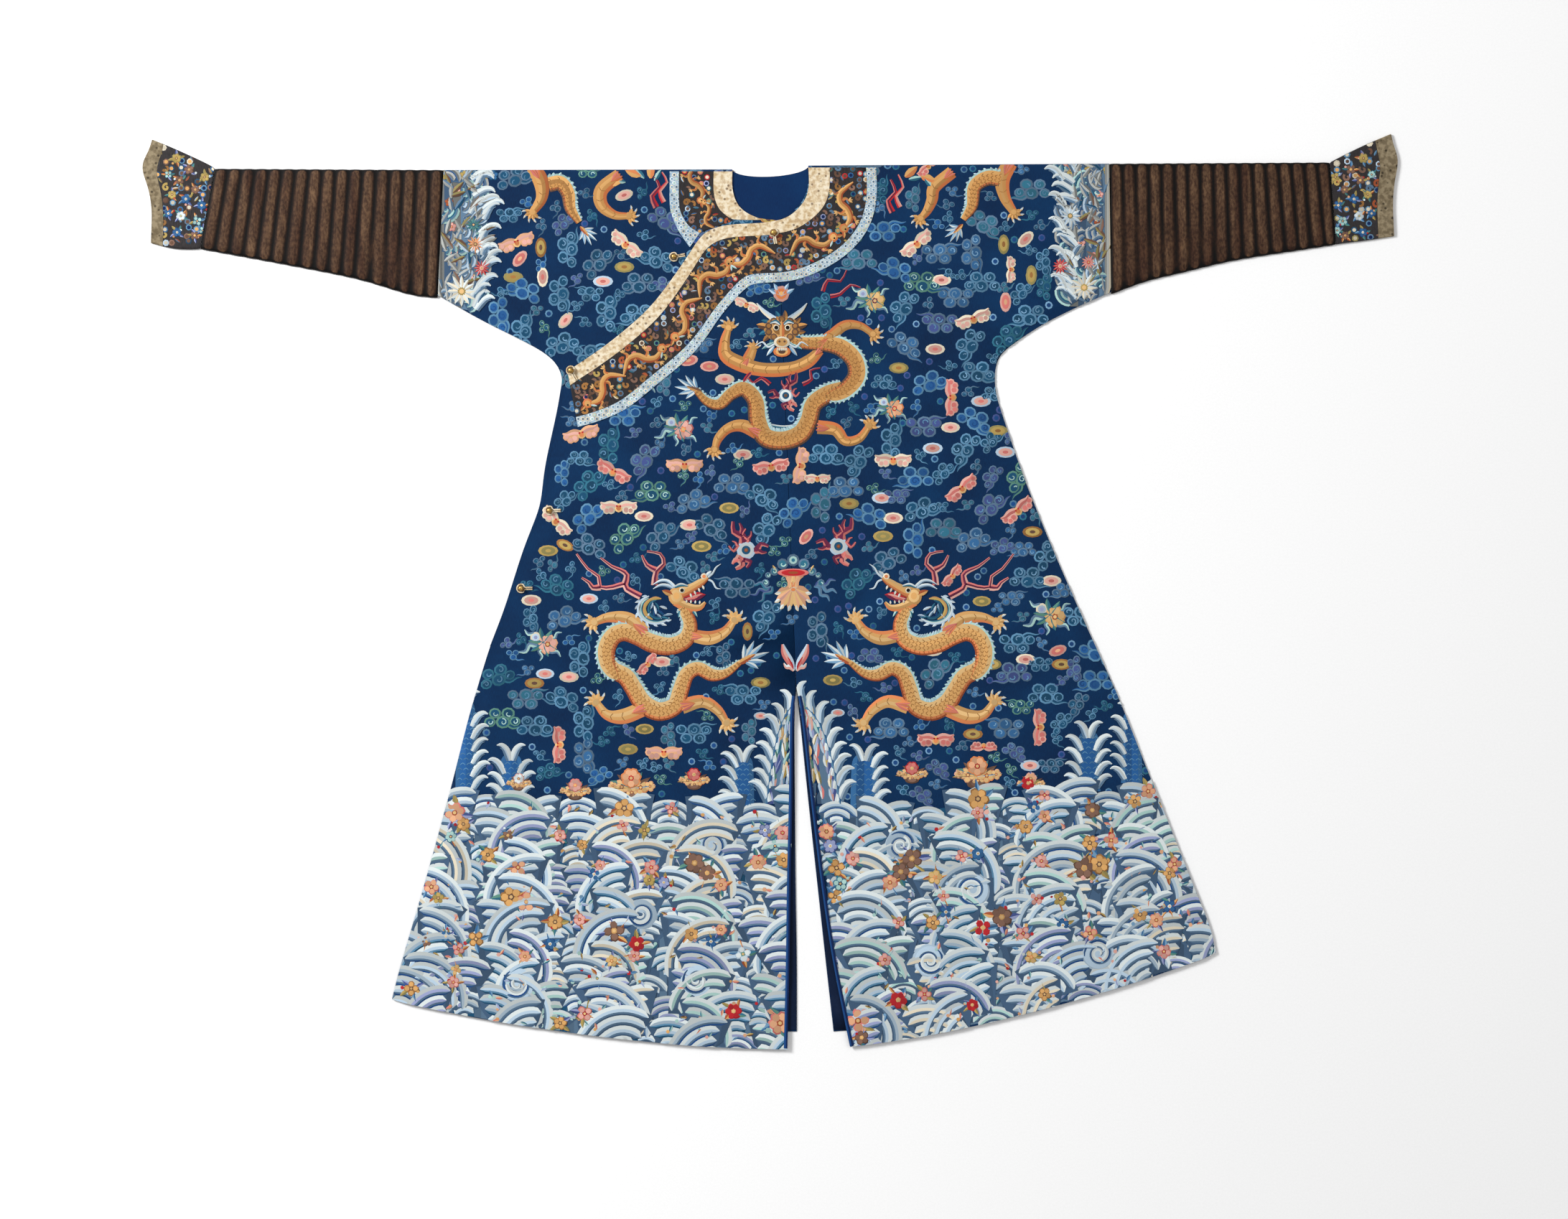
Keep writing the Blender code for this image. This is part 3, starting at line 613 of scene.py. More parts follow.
class Embroidery:
    """Patches of padded stitches, gathered and then sewn on a panel as one piece."""

    def __init__(self, name, panel, seed):
        self.name = name
        self.panel = panel
        self.random = random.Random(seed)
        self.points, self.lifts, self.faces, self.threads = [], [], [], []
        self.slots = {}
        self.dyes = {}
        self.count = 0
        self.matrix = np.eye(2)
        self.origin = np.zeros(2)
        self.base = 0.0

    @contextmanager
    def placed(self, x=0, y=0, turn=0, size=1, mirror=False, base=0.0):
        """What is drawn in this block is mirrored, turned in degrees, sized, moved and raised."""
        before = self.matrix, self.origin, self.base
        c = math.cos(math.radians(turn)) * size
        s = math.sin(math.radians(turn)) * size
        turned = np.array([[c, -s], [s, c]]) @ np.diag([-1 if mirror else 1, 1])
        self.origin = self.matrix @ np.array([x, y]) + self.origin
        self.matrix = self.matrix @ turned
        self.base += base
        yield
        self.matrix, self.origin, self.base = before

    def mirrored(self, x=0, y=0, base=0.0):
        """What is drawn in a loop over this is drawn at x, y, and again in the mirror."""
        for mirror in (False, True):
            with self.placed(x, y, mirror=mirror, base=base):
                yield

    @contextmanager
    def dyed(self, dyes):
        """What is drawn in this block is sewn in other flosses."""
        self.dyes = dyes
        yield
        self.dyes = {}

    def slot(self, name):
        """The number of a floss, in one of its shades."""
        shade = self.random.choice((0, 1, 1, 2))
        return self.slots.setdefault(f"{self.dyes.get(name, name)}_{shade}", len(self.slots))

    def add(self, x, y, lift, faces, threads):
        """Points with their lifts off the cloth, and faces with the numbers of their flosses."""
        places = np.column_stack([np.ravel(x), np.ravel(y)]) @ self.matrix.T + self.origin
        self.points.append(places)
        self.lifts.append(np.ravel(lift) + self.base)
        self.faces.append(faces + self.count)
        self.threads.append(threads)
        self.count += len(places)

    def patch(self, x, y, lift, threads, closed=False):
        """A grid of points. threads names the floss of each band between two of its columns."""
        rows, columns = x.shape
        index = np.arange(rows * columns).reshape(rows, columns)
        if closed:
            index = np.vstack([index, index[:1]])
        corners = (index[:-1, :-1], index[:-1, 1:], index[1:, 1:], index[1:, :-1])
        faces = np.stack([c.ravel() for c in corners], 1)
        slots = [self.slot(t) for t in threads]
        self.add(x, y, lift, faces, np.tile(slots, len(index) - 1))

    def ribbon(self, line, threads, across=(-1, -0.35, 0.35, 1), lifts=DOME, base=0.0, rise=(0, 0)):
        """A band of stitches along a line of x, y and half width, from its left side to its right.

        rise is how much higher each millimetre along x and along y is.
        """
        line = np.asarray(line, float)
        way = np.gradient(line[:, :2], axis=0)
        way /= np.maximum(np.linalg.norm(way, axis=1), 1e-6)[:, None]
        out = line[:, 2:3] * np.array(across)
        x = line[:, 0:1] + way[:, 1:2] * out
        y = line[:, 1:2] - way[:, 0:1] * out
        self.patch(x, y, np.array(lifts) + base + rise[0] * x + rise[1] * y, threads)

    def ridge(self, points, steps, threads, edge, crest, base=0.0):
        """A smooth band of two flosses, with heights for its edges and for its middle."""
        self.ribbon(curve(points, steps), threads, (-1, 0, 1), (edge, crest, edge), base)

    def arc(self, points, floss, low, high):
        """A short stitch of one floss, with heights for its two sides."""
        self.ribbon(curve(points, 2), (floss,), (-1, 1), (low, high))

    def rings(self, x, y, radii, threads, core, lifts=(-0.15, 0.4, 0.3, 0.45), base=0.0, sides=9, flat=1.0):
        """Rings of floss from the outside in, with a core. flat is the height over the width."""
        angles = np.linspace(0, 2 * math.pi, sides, endpoint=False)[:, None]
        r = np.array(radii, float)
        px = x + r * np.cos(angles)
        py = y + r * np.sin(angles) * flat
        heights = np.array(lifts[: len(radii)]) + base
        self.patch(px, py, heights + 0 * px, threads, closed=True)
        cap_x = np.append(px[:, -1], x)
        cap_y = np.append(py[:, -1], y)
        cap_lift = np.append(np.full(sides, heights[-1]), heights[-1] + 0.12)
        step = np.arange(sides)
        faces = np.stack([step, (step + 1) % sides, np.full(sides, sides), np.full(sides, sides)], 1)
        self.add(cap_x, cap_y, cap_lift, faces, np.full(sides, self.slot(core)))

    def leaf(self, x, y, length, width, turn, threads, base=0.0, bend=0.0):
        """A pointed shape of two flosses, from its root at x, y."""
        with self.placed(x, y, turn):
            shares = np.array([0, 0.2, 0.5, 0.8, 1])
            widths = np.array([0.25, 0.8, 1, 0.6, 0.05]) * width / 2
            line = np.column_stack([shares * length, bend * shares**2, widths])
            self.ribbon(line, threads, (-1, 0, 1), (-0.15, 0.5, -0.15), base)

    def sew(self, slot):
        """Makes the piece."""
        places = self.panel.pulled_in(np.vstack(self.points))
        x, y = places.T
        up = self.panel.up
        lift = np.concatenate(self.lifts)
        if up < 0:
            lift = LOW_ROOM * (1 - np.exp(-lift / LOW_SOFTNESS))
        z = self.panel.height(x, y) + up * lift
        faces = np.vstack(self.faces)
        threads = np.concatenate(self.threads)
        a, b, c, d = (places[faces[:, k]] for k in range(4))
        area = ((c - a)[:, 0] * (d - b)[:, 1] - (d - b)[:, 0] * (c - a)[:, 1]) / 2
        kept = np.abs(area) > SMALLEST_FACE
        faces = np.where((area * up < 0)[:, None], faces[:, ::-1], faces)[kept]
        used, index = np.unique(faces, return_inverse=True)
        faces = index.reshape(faces.shape)
        corners = [list(dict.fromkeys(face)) for face in faces.tolist()]
        mesh = bpy.data.meshes.new(self.name)
        mesh.from_pydata((np.column_stack([x, y, z])[used] * MM).tolist(), [], corners)
        for name in self.slots:
            mesh.materials.append(thread(name))
        mesh.polygons.foreach_set("material_index", threads[kept].astype(np.int32))
        mesh.shade_smooth()
        mesh.update()
        piece = link(bpy.data.objects.new(self.name, mesh))
        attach(piece, "root")
        return piece


# ---------------------------------------------------------------- small motifs

# x, y and radius of the lobes of a cloud, in the order they are sewn
CLOUD_LOBES = ((-20, -5, 9.5), (20, -6, 9.5), (-9, 8, 11), (12, 8, 10), (-1, -6, 12))
# outline, filling and curl
CLOUD_COLOURS = (
    ("mist", "dusk", "sky"),
    ("mist", "dusk", "mist"),
    ("slate", "teal", "mist"),
    ("slate", "mid", "sky"),
    ("mist", "steel", "deep"),
    ("slate", "dusk", "mist"),
    ("teal", "dusk", "mist"),
    ("green", "dusk", "mint"),
    ("slate", "violet", "mist"),
)
OVAL_COLOURS = (
    ("cream", "pink", "rose"),
    ("pale", "pink", "rose"),
    ("pink", "rose", "peach"),
    ("ochre", "olive", "ochre"),
    ("dark_gold", "ochre", "brown"),
    ("olive", "ochre", "dark_gold"),
)


def swirl(s, x, y, radius, turns, width, threads, base=0.3):
    """A cord that curls in to a centre."""
    count = int(8 * turns) + 2
    angles = np.linspace(s.random.uniform(0, 6), 0, count) + np.linspace(0, 2 * math.pi * turns, count)
    reach = np.linspace(radius, 0.12 * radius, count)
    line = np.column_stack([x + reach * np.cos(angles), y + reach * np.sin(angles), np.full(count, width)])
    across, lifts = ((-1, 1), (0.1, 0.3)) if len(threads) == 1 else ((-1, 0, 1), (0.1, 0.3, 0.1))
    s.ribbon(line, threads, across, lifts, base)


def cloud(s, x, y, turn=0, size=1.0, lobes=5):
    """Lobes with a curl in each, and a tail."""
    outline, filling, curl_colour = s.random.choice(CLOUD_COLOURS)
    with s.placed(x, y, turn, size, mirror=s.random.random() < 0.5):
        tail = ((-6, -8, 3.5), (-16, -15, 3), (-29, -13, 2), (-37, -15, 0.4))
        s.ridge(tail, 3, (outline, filling), -0.1, 0.35)
        for k, (lx, ly, r) in enumerate(CLOUD_LOBES[-lobes:]):
            s.rings(lx, ly, (r, 0.7 * r), (outline,), filling, (-0.15, 0.4), 0.07 * k, 9, 0.86)
            swirl(s, lx, ly, 0.5 * r, 1.1, 1.1, (curl_colour,), 0.32 + 0.07 * k)


def oval(s, x, y, turn=0, size=1.0, gold=False):
    """A flat ring with a core, pale or gold."""
    colours = s.random.choice(OVAL_COLOURS[3:] if gold else OVAL_COLOURS[:3])
    with s.placed(x, y, turn, size):
        s.rings(0, 0, (19, 13.5, 5.5), colours[:2], colours[2], base=0.1, sides=12, flat=0.56)


def bat(s, x, y, turn=0, size=1.0):
    """A bat with scalloped wings and red eyes."""
    edge, wing = s.random.choice((("pink", "rose"), ("peach", "pink"), ("cream", "pink")))
    with s.placed(x, y, turn, size, base=0.12):
        for _ in s.mirrored():
            for reach, height, r in ((12, -3, 7), (19, -4, 6), (24, 2, 6)):
                s.rings(reach, height, (r, 0.6 * r), (edge,), wing, (-0.1, 0.35), 0.02 * reach, 8)
            arm = curve(((0, 1, 5), (11, 5, 6.5), (22, 5, 4.5), (29, 9, 1)), 3)
            s.ribbon(arm, (edge, wing, edge), base=0.4)
        s.rings(0, 0, (6.5, 4), ("light_gold",), "orange", (-0.1, 0.5), 0.6, 8, 1.1)
        for eye in (-2.6, 2.6):
            dot(s, eye, 3, 1.7, "red", 1.2)


def flower(s, x, y, size, colours, petals=5, turn=0):
    """Round petals about a centre. colours are the petals' edge, the petals and the centre."""
    edge, petal, centre = colours
    with s.placed(x, y, turn, size / 14):
        for k in range(petals):
            angle = 2 * math.pi * (k + 0.25) / petals
            px, py = 7.5 * math.cos(angle), 7.5 * math.sin(angle)
            s.rings(px, py, (6.6, 4.4), (edge,), petal, (-0.15, 0.45), 0.05 * (k % 2), 7)
        s.rings(0, 0, (4.2, 2.2), (centre,), "light_gold", (0.2, 0.6), 0.15, 7)


def dot(s, x, y, r, colour, base=0.2):
    """A knot of floss."""
    s.rings(x, y, (r,), (), colour, (0.0,), base, 6)


def streamer(s, x, y, turn, length, colours):
    """A fluttering silk ribbon."""
    with s.placed(x, y, turn, length / 40):
        s.ridge(((0, 0, 2), (9, 6, 4), (20, -2, 3.6), (30, 5, 3), (40, 1, 1)), 3, colours, -0.1, 0.4)


def emblem(s, x, y, size, flower_colours):
    """A flower among leaves and streamers."""
    with s.placed(x, y, 0, size, base=0.1):
        for k, turn in enumerate((30, 150, 205, 265, 325)):
            streamer(s, 4 * math.cos(k), 4 * math.sin(k), turn, 30 + 6 * (k % 3), ("mint", "slate"))
        for k, turn in enumerate((45, 110, 165, 225, 280, 340)):
            s.leaf(0, 0, 24, 9, turn, ("green", "teal"), 0.15, bend=(-1) ** k * 4)
        s.rings(-12, 8, (9, 6, 3), ("cream", "pale"), "lilac", base=0.2)
        flower(s, 7, -3, 17, flower_colours, 6)


def flame(s, points, width, colours=("rose", "plum", "red")):
    """A jagged tongue of fire along a line of points, widest at its root."""
    count = len(points)
    line = [(x, y, width * (1 - 0.7 * k / (count - 1))) for k, (x, y) in enumerate(points)]
    s.ribbon(curve(line, 2), colours, base=0.3)


# heading, reach, half width and colours of the fires round a pearl
PEARL_FIRES = (
    (62, 50, 8, ("plum", "plum", "rose")),
    (84, 34, 6, ("plum", "rose", "plum")),
    (166, 36, 7, ("rose", "plum", "plum")),
    (8, 28, 5, ("plum", "rose", "rose")),
    (-66, 34, 9, ("pink", "rose", "rose")),
    (-98, 28, 7, ("rose", "plum", "plum")),
)


def pearl(s, x, y, mirror=False, size=1.0):
    """A flaming pearl."""
    with s.placed(x, y, 0, size, mirror, base=0.15):
        for heading, reach, width, colours in PEARL_FIRES:
            with s.placed(turn=heading):
                flame(s, ((9, 0), (0.45 * reach, 5), (0.7 * reach, -4), (reach, 3)), width, colours)
                flame(s, ((0.5 * reach, 4), (0.66 * reach, 10), (0.86 * reach, 11)), 0.6 * width, colours)
        s.rings(0, 0, (15, 11.5, 7), ("pale", "white"), "dusk", base=0.5, sides=16)
        s.rings(0, 0, (3.6, 1.8), ("brown",), "rust", (0.9, 1.0), 0.2, 8)


# ---------------------------------------------------------------- dragons

# The flosses of the dragons above the waist, which are darker
DARK_GOLDS = {"light_gold": "gold", "gold": "amber", "orange": "copper", "rust": "brown"}
BODY_ACROSS = (-1.22, -0.98, -0.5, 0.05, 0.55, 0.8, 1)
BODY_LIFTS = (-0.15, 0.45, 0.95, 1.1, 0.9, 0.6, -0.15)
BODY_THREADS = ("mint", "light_gold", "gold", "gold", "orange", "rust")
# How far apart a body's rows of scales are, and where the scales of each kind of row lie across it
SCALE_PITCH = 6.2
SCALE_ROWS = ((-0.55, -0.05, 0.42), (-0.3, 0.2))


def dragon_body(s, points, spine_left, base=0.0):
    """A scaled body with fins along its spine and bars across its belly."""
    side = 1 if spine_left else -1
    line = curve(points, 7)
    order = slice(None, None, side)
    across = tuple(side * a for a in BODY_ACROSS[order])
    s.ribbon(line, BODY_THREADS[order], across, BODY_LIFTS[order], base)
    for k, (x, y, w, turn) in enumerate(steps_along(line, 3, SCALE_PITCH, 2)):
        with s.placed(x, y, turn, base=base):
            for share in SCALE_ROWS[k % 2]:
                # scales, as small arcs open towards the tail
                lift = np.interp(share, BODY_ACROSS, BODY_LIFTS)
                offset = -side * share * w
                scale = [(-2.2, offset - 0.2 * w, 0.4), (1.2, offset, 0.7), (-2.2, offset + 0.2 * w, 0.4)]
                s.arc(scale, "dark_gold", lift + 0.05, lift + 0.22)
            s.leaf(0, side * 0.98 * w, 0.34 * w + 2, 4.6, side * 62, ("mint", "pale"), 0.2)
            bar = [(0, -side * 0.6 * w, 0.5), (0, -side * 0.95 * w, 0.5)]
            s.ribbon(bar, ("rust",), (-1, 1), (0.95, 0.75))


def paw(s, x, y, turn, size=1.0):
    """Five claws spread round a pad."""
    with s.placed(x, y, turn, size, base=0.5):
        for k, heading in enumerate((-75, -38, 0, 38, 75)):
            with s.placed(turn=heading):
                s.leaf(3, 0, 13, 7, 0, ("gold", "light_gold"), 0.3)
                s.leaf(12, 0, 9, 4, 16, ("pale", "cream"), 0.35, bend=2)
        s.rings(0, 0, (8, 5), ("gold",), "light_gold", (-0.1, 0.8), 0.2, 9)


LEG_THREADS = ("orange", "gold", "light_gold", "gold")
LEG_LIFTS = (-0.15, 1.0, 1.2, 1.0, -0.15)


def leg(s, points, paw_turn, paw_size=1.0):
    """A limb along a line of x, y and half width, with a flaming hip and a paw."""
    line = curve(points, 6)
    s.ribbon(line, LEG_THREADS, (-1, -0.5, 0, 0.5, 1), LEG_LIFTS, 0.2)
    (x0, y0, w0), (x1, y1, _) = points[:2]
    with s.placed(x0, y0, heading_of((x1 - x0, y1 - y0)), base=0.9):
        for offset, turn in ((-0.5, 14), (0, 0), (0.5, -14)):
            s.leaf(-2, offset * w0, 2.0 * w0, 0.6 * w0, turn, ("orange", "rose"), 0.45)
    for k in range(6, len(line) - 3, 4):
        x, y, w = line[k]
        with s.placed(x, y, heading_of(line[k + 1] - line[k - 1]), base=0.2):
            s.arc([(-1.5, -0.55 * w, 0.4), (1.5, 0, 0.7), (-1.5, 0.55 * w, 0.4)], "dark_gold", 1.15, 1.25)
    paw(s, *points[-1][:2], paw_turn, paw_size)


def tail_tuft(s, x, y, turn, size=1.0):
    """A fan of pale hair at the end of a tail."""
    with s.placed(x, y, turn, size, base=0.3):
        for heading, length in ((-48, 22), (48, 22), (-28, 30), (28, 30), (-10, 36), (10, 36)):
            s.leaf(-4, 0, length, 7, heading, ("white", "sky"), 0.3, bend=heading * 0.08)
        s.leaf(-12, 0, 26, 9, 0, ("gold", "rust"), 0.7)


# radius, half width, flosses, first and last heading, and drift of the mane's locks
MANE_LOCKS = (
    (15, 2.4, ("dusk", "teal"), 100, 330, 4), (20, 3.0, ("ochre", "gold"), 70, 250, 2),
    (24, 2.2, ("teal", "mint"), 120, 300, 1), (28, 2.6, ("white", "pale"), 112, 322, 0),
)
LOCK_WIDTHS = (0.3, 0.9, 0.7, 1, 0.8, 1, 0.8, 0.3)


def mane(s, x, y):
    """A loop of hair behind a dragon's head, open on the head's side."""
    with s.placed(x, y, base=0.25):
        for k in range(11):
            spot = (-17 + 4.4 * k, -15 + 7 * (k % 3) + s.random.uniform(-2, 2))
            threads = (("white", "pale"), ("dusk", "teal"), ("slate", "pale"), ("dusk", "deep"))[k % 4]
            s.leaf(*spot, s.random.uniform(10, 17), 4.4, 36 + 14 * k, threads, 0.2 + 0.03 * k, bend=3)
        for radius, width, threads, first, last, drift in MANE_LOCKS:
            angles = [math.radians(a) for a in np.linspace(first, last, len(LOCK_WIDTHS))]
            tall = (0.8 + 0.04 * drift) * radius
            lock = [
                (radius * math.cos(a) + drift, tall * math.sin(a), w * width)
                for a, w in zip(angles, LOCK_WIDTHS)
            ]
            s.ridge(lock, 3, threads, -0.1, 0.5, 0.3)
        for k, heading in enumerate((118, 142, 164, 190, 214, 236, 262, 284, 306)):
            ex, ey = 27 * math.cos(math.radians(heading)), 22 * math.sin(math.radians(heading))
            s.leaf(ex, ey, 9 + 3 * (k % 2), 4.4, heading + 40, ("white", "pale"), 0.2, bend=3)


def horned_head(s, x, y):
    """A dragon's head from the side. It faces along x with its jaws apart and its snout raised."""
    with s.placed(x, y, base=0.7):
        for k, heading in enumerate((238, 262, 286)):
            s.leaf(-2 + 8 * k, -17, 17, 6, heading, ("mint", "teal"), 0.2, bend=4)
        for shift in (0, 7):
            horn = ((-12, 12, 3.8), (-24, 17 + shift, 3), (-36, 18 + shift, 2.4), (-48, 12 + shift, 0.7))
            s.ribbon(curve(horn, 4), ("slate", "pale", "white"), base=0.4)
        s.leaf(-6, -3, 42, 17, 8, ("red", "plum"), 0.4)
        s.leaf(2, -4, 30, 7, 10, ("pink", "rose"), 0.7, bend=3)
        jaw = ((-12, -7, 8), (0, -14, 7.5), (14, -18, 6), (27, -17, 4.5), (35, -9, 2))
        s.ribbon(curve(jaw, 4), ("light_gold", "gold", "orange"), base=0.6)
        snout = curve(((-12, 4, 11), (2, 8, 9), (16, 15, 7), (29, 23, 6), (39, 30, 3)), 5)
        golds = ("light_gold", "gold", "orange", "rust")
        s.ribbon(snout, golds, (-1, -0.4, 0.3, 0.75, 1), (-0.1, 0.9, 1.0, 0.7, -0.1), 0.6)
        for k in range(4):
            s.leaf(11 + 6.5 * k, 5 + 4.2 * k, 7, 3.6, -68, ("white", "cream"), 1.2)
            s.leaf(5 + 7 * k, -10 - 0.6 * k, 5.5, 3, 84, ("white", "cream"), 1.3)
        s.rings(-11, 1, (13, 9, 5), ("gold", "light_gold"), "gold", (-0.1, 0.8, 1.1), 0.7, 12, 1.15)
        s.rings(33, 32, (5.5, 3), ("cream",), "orange", (0.2, 0.9), 1.0, 8)
        s.leaf(36, 33, 12, 6, 40, ("white", "pale"), 0.8)
        s.ridge(((-14, 15, 1.8), (-4, 19, 2.8), (7, 17, 1.2)), 4, ("white", "teal"), 0.1, 0.6, 1.6)
        s.rings(-2, 10, (4.6, 3), ("cream",), "black", (0.2, 0.9), 1.6, 9)
        s.leaf(-17, 3, 18, 9, 158, ("gold", "rust"), 1.4)
        for spread in (-1, 1):
            whisker = [(36, 28, 1.4), (46, 30 + 6 * spread, 1.5)]
            whisker += [(52, 30 + 16 * spread, 1.3), (60, 32 + 20 * spread, 0.4)]
            s.ridge(whisker, 5, ("white", "pale"), 0, 0.5, 0.4)


def facing_head(s, x, y):
    """A dragon's head from the front."""
    with s.placed(x, y, base=0.8):
        for k in range(16):
            heading = 22.5 * k + 11
            colours = (("dusk", "teal"), ("brown", "dark_gold"))[k % 2]
            ex, ey = 22 * math.cos(math.radians(heading)), 15 * math.sin(math.radians(heading))
            s.leaf(ex, ey, 16, 8, heading, colours, 0.2, bend=3)
        for _ in s.mirrored():
            horn = ((11, 16, 4.6), (20, 22, 4.2), (31, 31, 3.2), (40, 42, 0.8))
            s.ribbon(curve(horn, 4), ("pale", "white", "cream"), base=0.6)
            s.leaf(22, 4, 19, 10, 12, ("gold", "rust"), 0.6)
            s.leaf(11, -20, 24, 7, -28, ("mint", "teal"), 0.6)
            s.leaf(12, -26, 20, 6, -52, ("white", "sky"), 0.6)
        s.rings(0, 1, (29, 22, 14), ("gold", "light_gold"), "dark_gold", (-0.1, 0.9, 1.0), 0.5, 20, 0.72)
        for k in range(10):
            angle = math.radians(36 * k + 18)
            ex, ey = 22 * math.cos(angle), 1 + 15.5 * math.sin(angle)
            s.rings(ex, ey, (5.8, 3.4), ("rust",), "dark_gold", (0.9, 1.3), 0.55, 8)
        s.leaf(0, -16, 32, 12, 90, ("light_gold", "orange"), 1.5)
        for _ in s.mirrored():
            s.ridge(((3, 8, 1.6), (10, 13, 2.8), (19, 10, 0.9)), 4, ("teal", "white"), 0, 0.6, 2.2)
            s.rings(9, 3, (4.8, 3.3), ("cream",), "black", (0.3, 1.0), 2.1, 10)
            whisker = ((10, -22, 1.4), (22, -28, 1.6), (31, -20, 1.3), (42, -26, 0.4))
            s.ridge(whisker, 4, ("white", "pale"), 0, 0.5, 1.2)
        s.rings(0, -20, (13, 9), ("cream",), "light_gold", (0.2, 1.3), 1.5, 12, 0.72)
        for nostril in (-4, 4):
            dot(s, nostril, -19, 1.8, "rust", 3.2)
        s.rings(0, -35, (14, 10, 6), ("orange", "light_gold"), "rust", (0.0, 0.8, 0.6), 1.1, 12, 0.62)
        for k in (-2, -1, 0, 1, 2):
            s.leaf(3.4 * k, -29, 5, 3.2, -90, ("white", "cream"), 2.1)


# Each path has x, y and half width from the head's end to the tail. A leg ends with its paw's heading.
STRIDING_NECK = (
    (-138, -24, 9), (-127, -52, 11), (-134, -76, 13), (-158, -87, 14), (-186, -83, 15), (-210, -72, 14),
    (-232, -65, 14), (-250, -72, 14), (-260, -92, 14), (-258, -114, 13), (-249, -130, 10),
    (-242, -139, 3),
)
STRIDING_TAIL = (
    (-262, -104, 10), (-250, -124, 13), (-230, -136, 14), (-217, -155, 14), (-202, -178, 15),
    (-177, -191, 15), (-151, -182, 14), (-142, -157, 13), (-132, -132, 12), (-114, -123, 11),
    (-92, -133, 10), (-70, -130, 7), (-46, -112, 4),
)
STRIDING_LEGS = (
    ((-124, -70, 10), (-96, -74, 11), (-72, -64, 8), (-57, -45, 5.5), 75),
    ((-200, -66, 13), (-226, -44, 11), (-256, -41, 8), (-280, -49, 5.5), 205),
    ((-200, -186, 12), (-234, -199, 12), (-260, -196, 8), (-277, -176, 5.5), 110),
    ((-140, -183, 12), (-108, -175, 10), (-84, -188, 8), (-69, -209, 5.5), -60),
)
STRIDING_FLAMES = (
    ((-206, -8), (-228, 4), (-232, 12), (-250, 7), (-270, 7), (-273, 24), (-290, 36), (-308, 60)),
    ((-232, 10), (-228, 26), (-238, 34), (-252, 40), (-270, 54)),
    ((-270, 7), (-282, 6), (-288, 14), (-300, 22)),
    ((-184, 10), (-181, 32), (-169, 44), (-175, 60), (-196, 64)), ((-182, 34), (-196, 42), (-204, 58)),
)


def striding_dragon(s, x=0, mirror=False):
    """A dragon in profile above the waves, with fire at its shoulders."""
    with s.placed(x, mirror=mirror):
        for points in STRIDING_FLAMES:
            flame(s, points, 5.4, ("pink", "plum", "rose"))
        mane(s, -182, -28)
        for *points, turn in STRIDING_LEGS[1:3]:
            leg(s, points, turn)
        dragon_body(s, STRIDING_TAIL, True, 0.3)
        tail_tuft(s, -38, -108, 30, 1.2)
        dragon_body(s, STRIDING_NECK, False, 0.6)
        for *points, turn in STRIDING_LEGS[::3]:
            leg(s, points, turn)
        horned_head(s, -138, -8)


SEATED_FRONT = (
    (34, 398, 9), (60, 395, 10), (88, 394, 12), (113, 388, 14), (134, 368, 14), (137, 343, 14),
    (121, 323, 13), (102, 314, 11), (86, 310, 3),
)
SEATED_TAIL = (
    (116, 324, 11), (92, 314, 14), (70, 298, 14), (62, 272, 14), (48, 250, 15), (20, 240, 15),
    (-8, 246, 15), (-20, 272, 14), (-24, 304, 13), (-42, 322, 12), (-62, 314, 10), (-80, 298, 9),
    (-100, 302, 7), (-118, 320, 5),
)
SEATED_ARM = (
    (80, 384, 7), (62, 367, 10), (40, 357, 10), (14, 353, 11), (-16, 354, 11), (-46, 362, 12),
    (-70, 376, 11), (-72, 398, 8), (-66, 420, 5),
)
SEATED_HAND = ((-40, 362, 7), (-34, 372, 9), (-27, 388, 7))
SEATED_LEGS = (
    ((78, 392, 10), (98, 408, 9), (120, 424, 8), (144, 423, 6), (164, 410, 5), -28),
    ((-18, 252, 11), (-44, 264, 10), (-66, 260, 8), (-82, 244, 7), (-88, 226, 5), -105),
    ((76, 262, 11), (104, 258, 10), (120, 240, 8), (142, 244, 7), (158, 264, 5), 62),
)
SEATED_FLAMES = (
    ((0, 330), (-14, 340), (-26, 332), (-34, 340)), ((52, 330), (66, 338), (64, 352), (80, 356)),
    ((-30, 350), (-44, 330), (-36, 318)), ((84, 478), (92, 496), (112, 494), (122, 512)),
    ((96, 470), (112, 474), (128, 488), (144, 484)),
)


def seated_dragon(s, y=0):
    """A dragon that faces forward, its body looped round a flaming pearl."""
    with s.placed(y=y), s.dyed(DARK_GOLDS):
        for points in SEATED_FLAMES:
            flame(s, points, 3.4)
        for k, threads in enumerate((("white", "teal"), ("pale", "green"), ("mint", "dusk"))):
            water = ((-12, 268 - 6 * k, 2), (24, 262 - 6 * k, 3), (60, 270 - 6 * k, 2))
            s.ridge(water, 5, threads, -0.1, 0.5)
        pearl(s, 25, 312, size=0.8)
        for *points, turn in ((*SEATED_ARM, 88), *SEATED_LEGS):
            leg(s, points, turn, 0.9)
        dragon_body(s, SEATED_TAIL, False, 0.3)
        tail_tuft(s, -120, 322, 160, 1.0)
        dragon_body(s, SEATED_FRONT, True, 0.6)
        leg(s, SEATED_HAND, 85, 0.7)
        facing_head(s, 19, 417)
        s.rings(18, 474, (13, 9, 4), ("pink", "orange"), "light_gold", base=0.6)
        for turn in (150, 120, 60, 30):
            s.leaf(18, 470, 24, 8, turn, ("pale", "sky"), 0.5)


# ---------------------------------------------------------------- waves and rocks

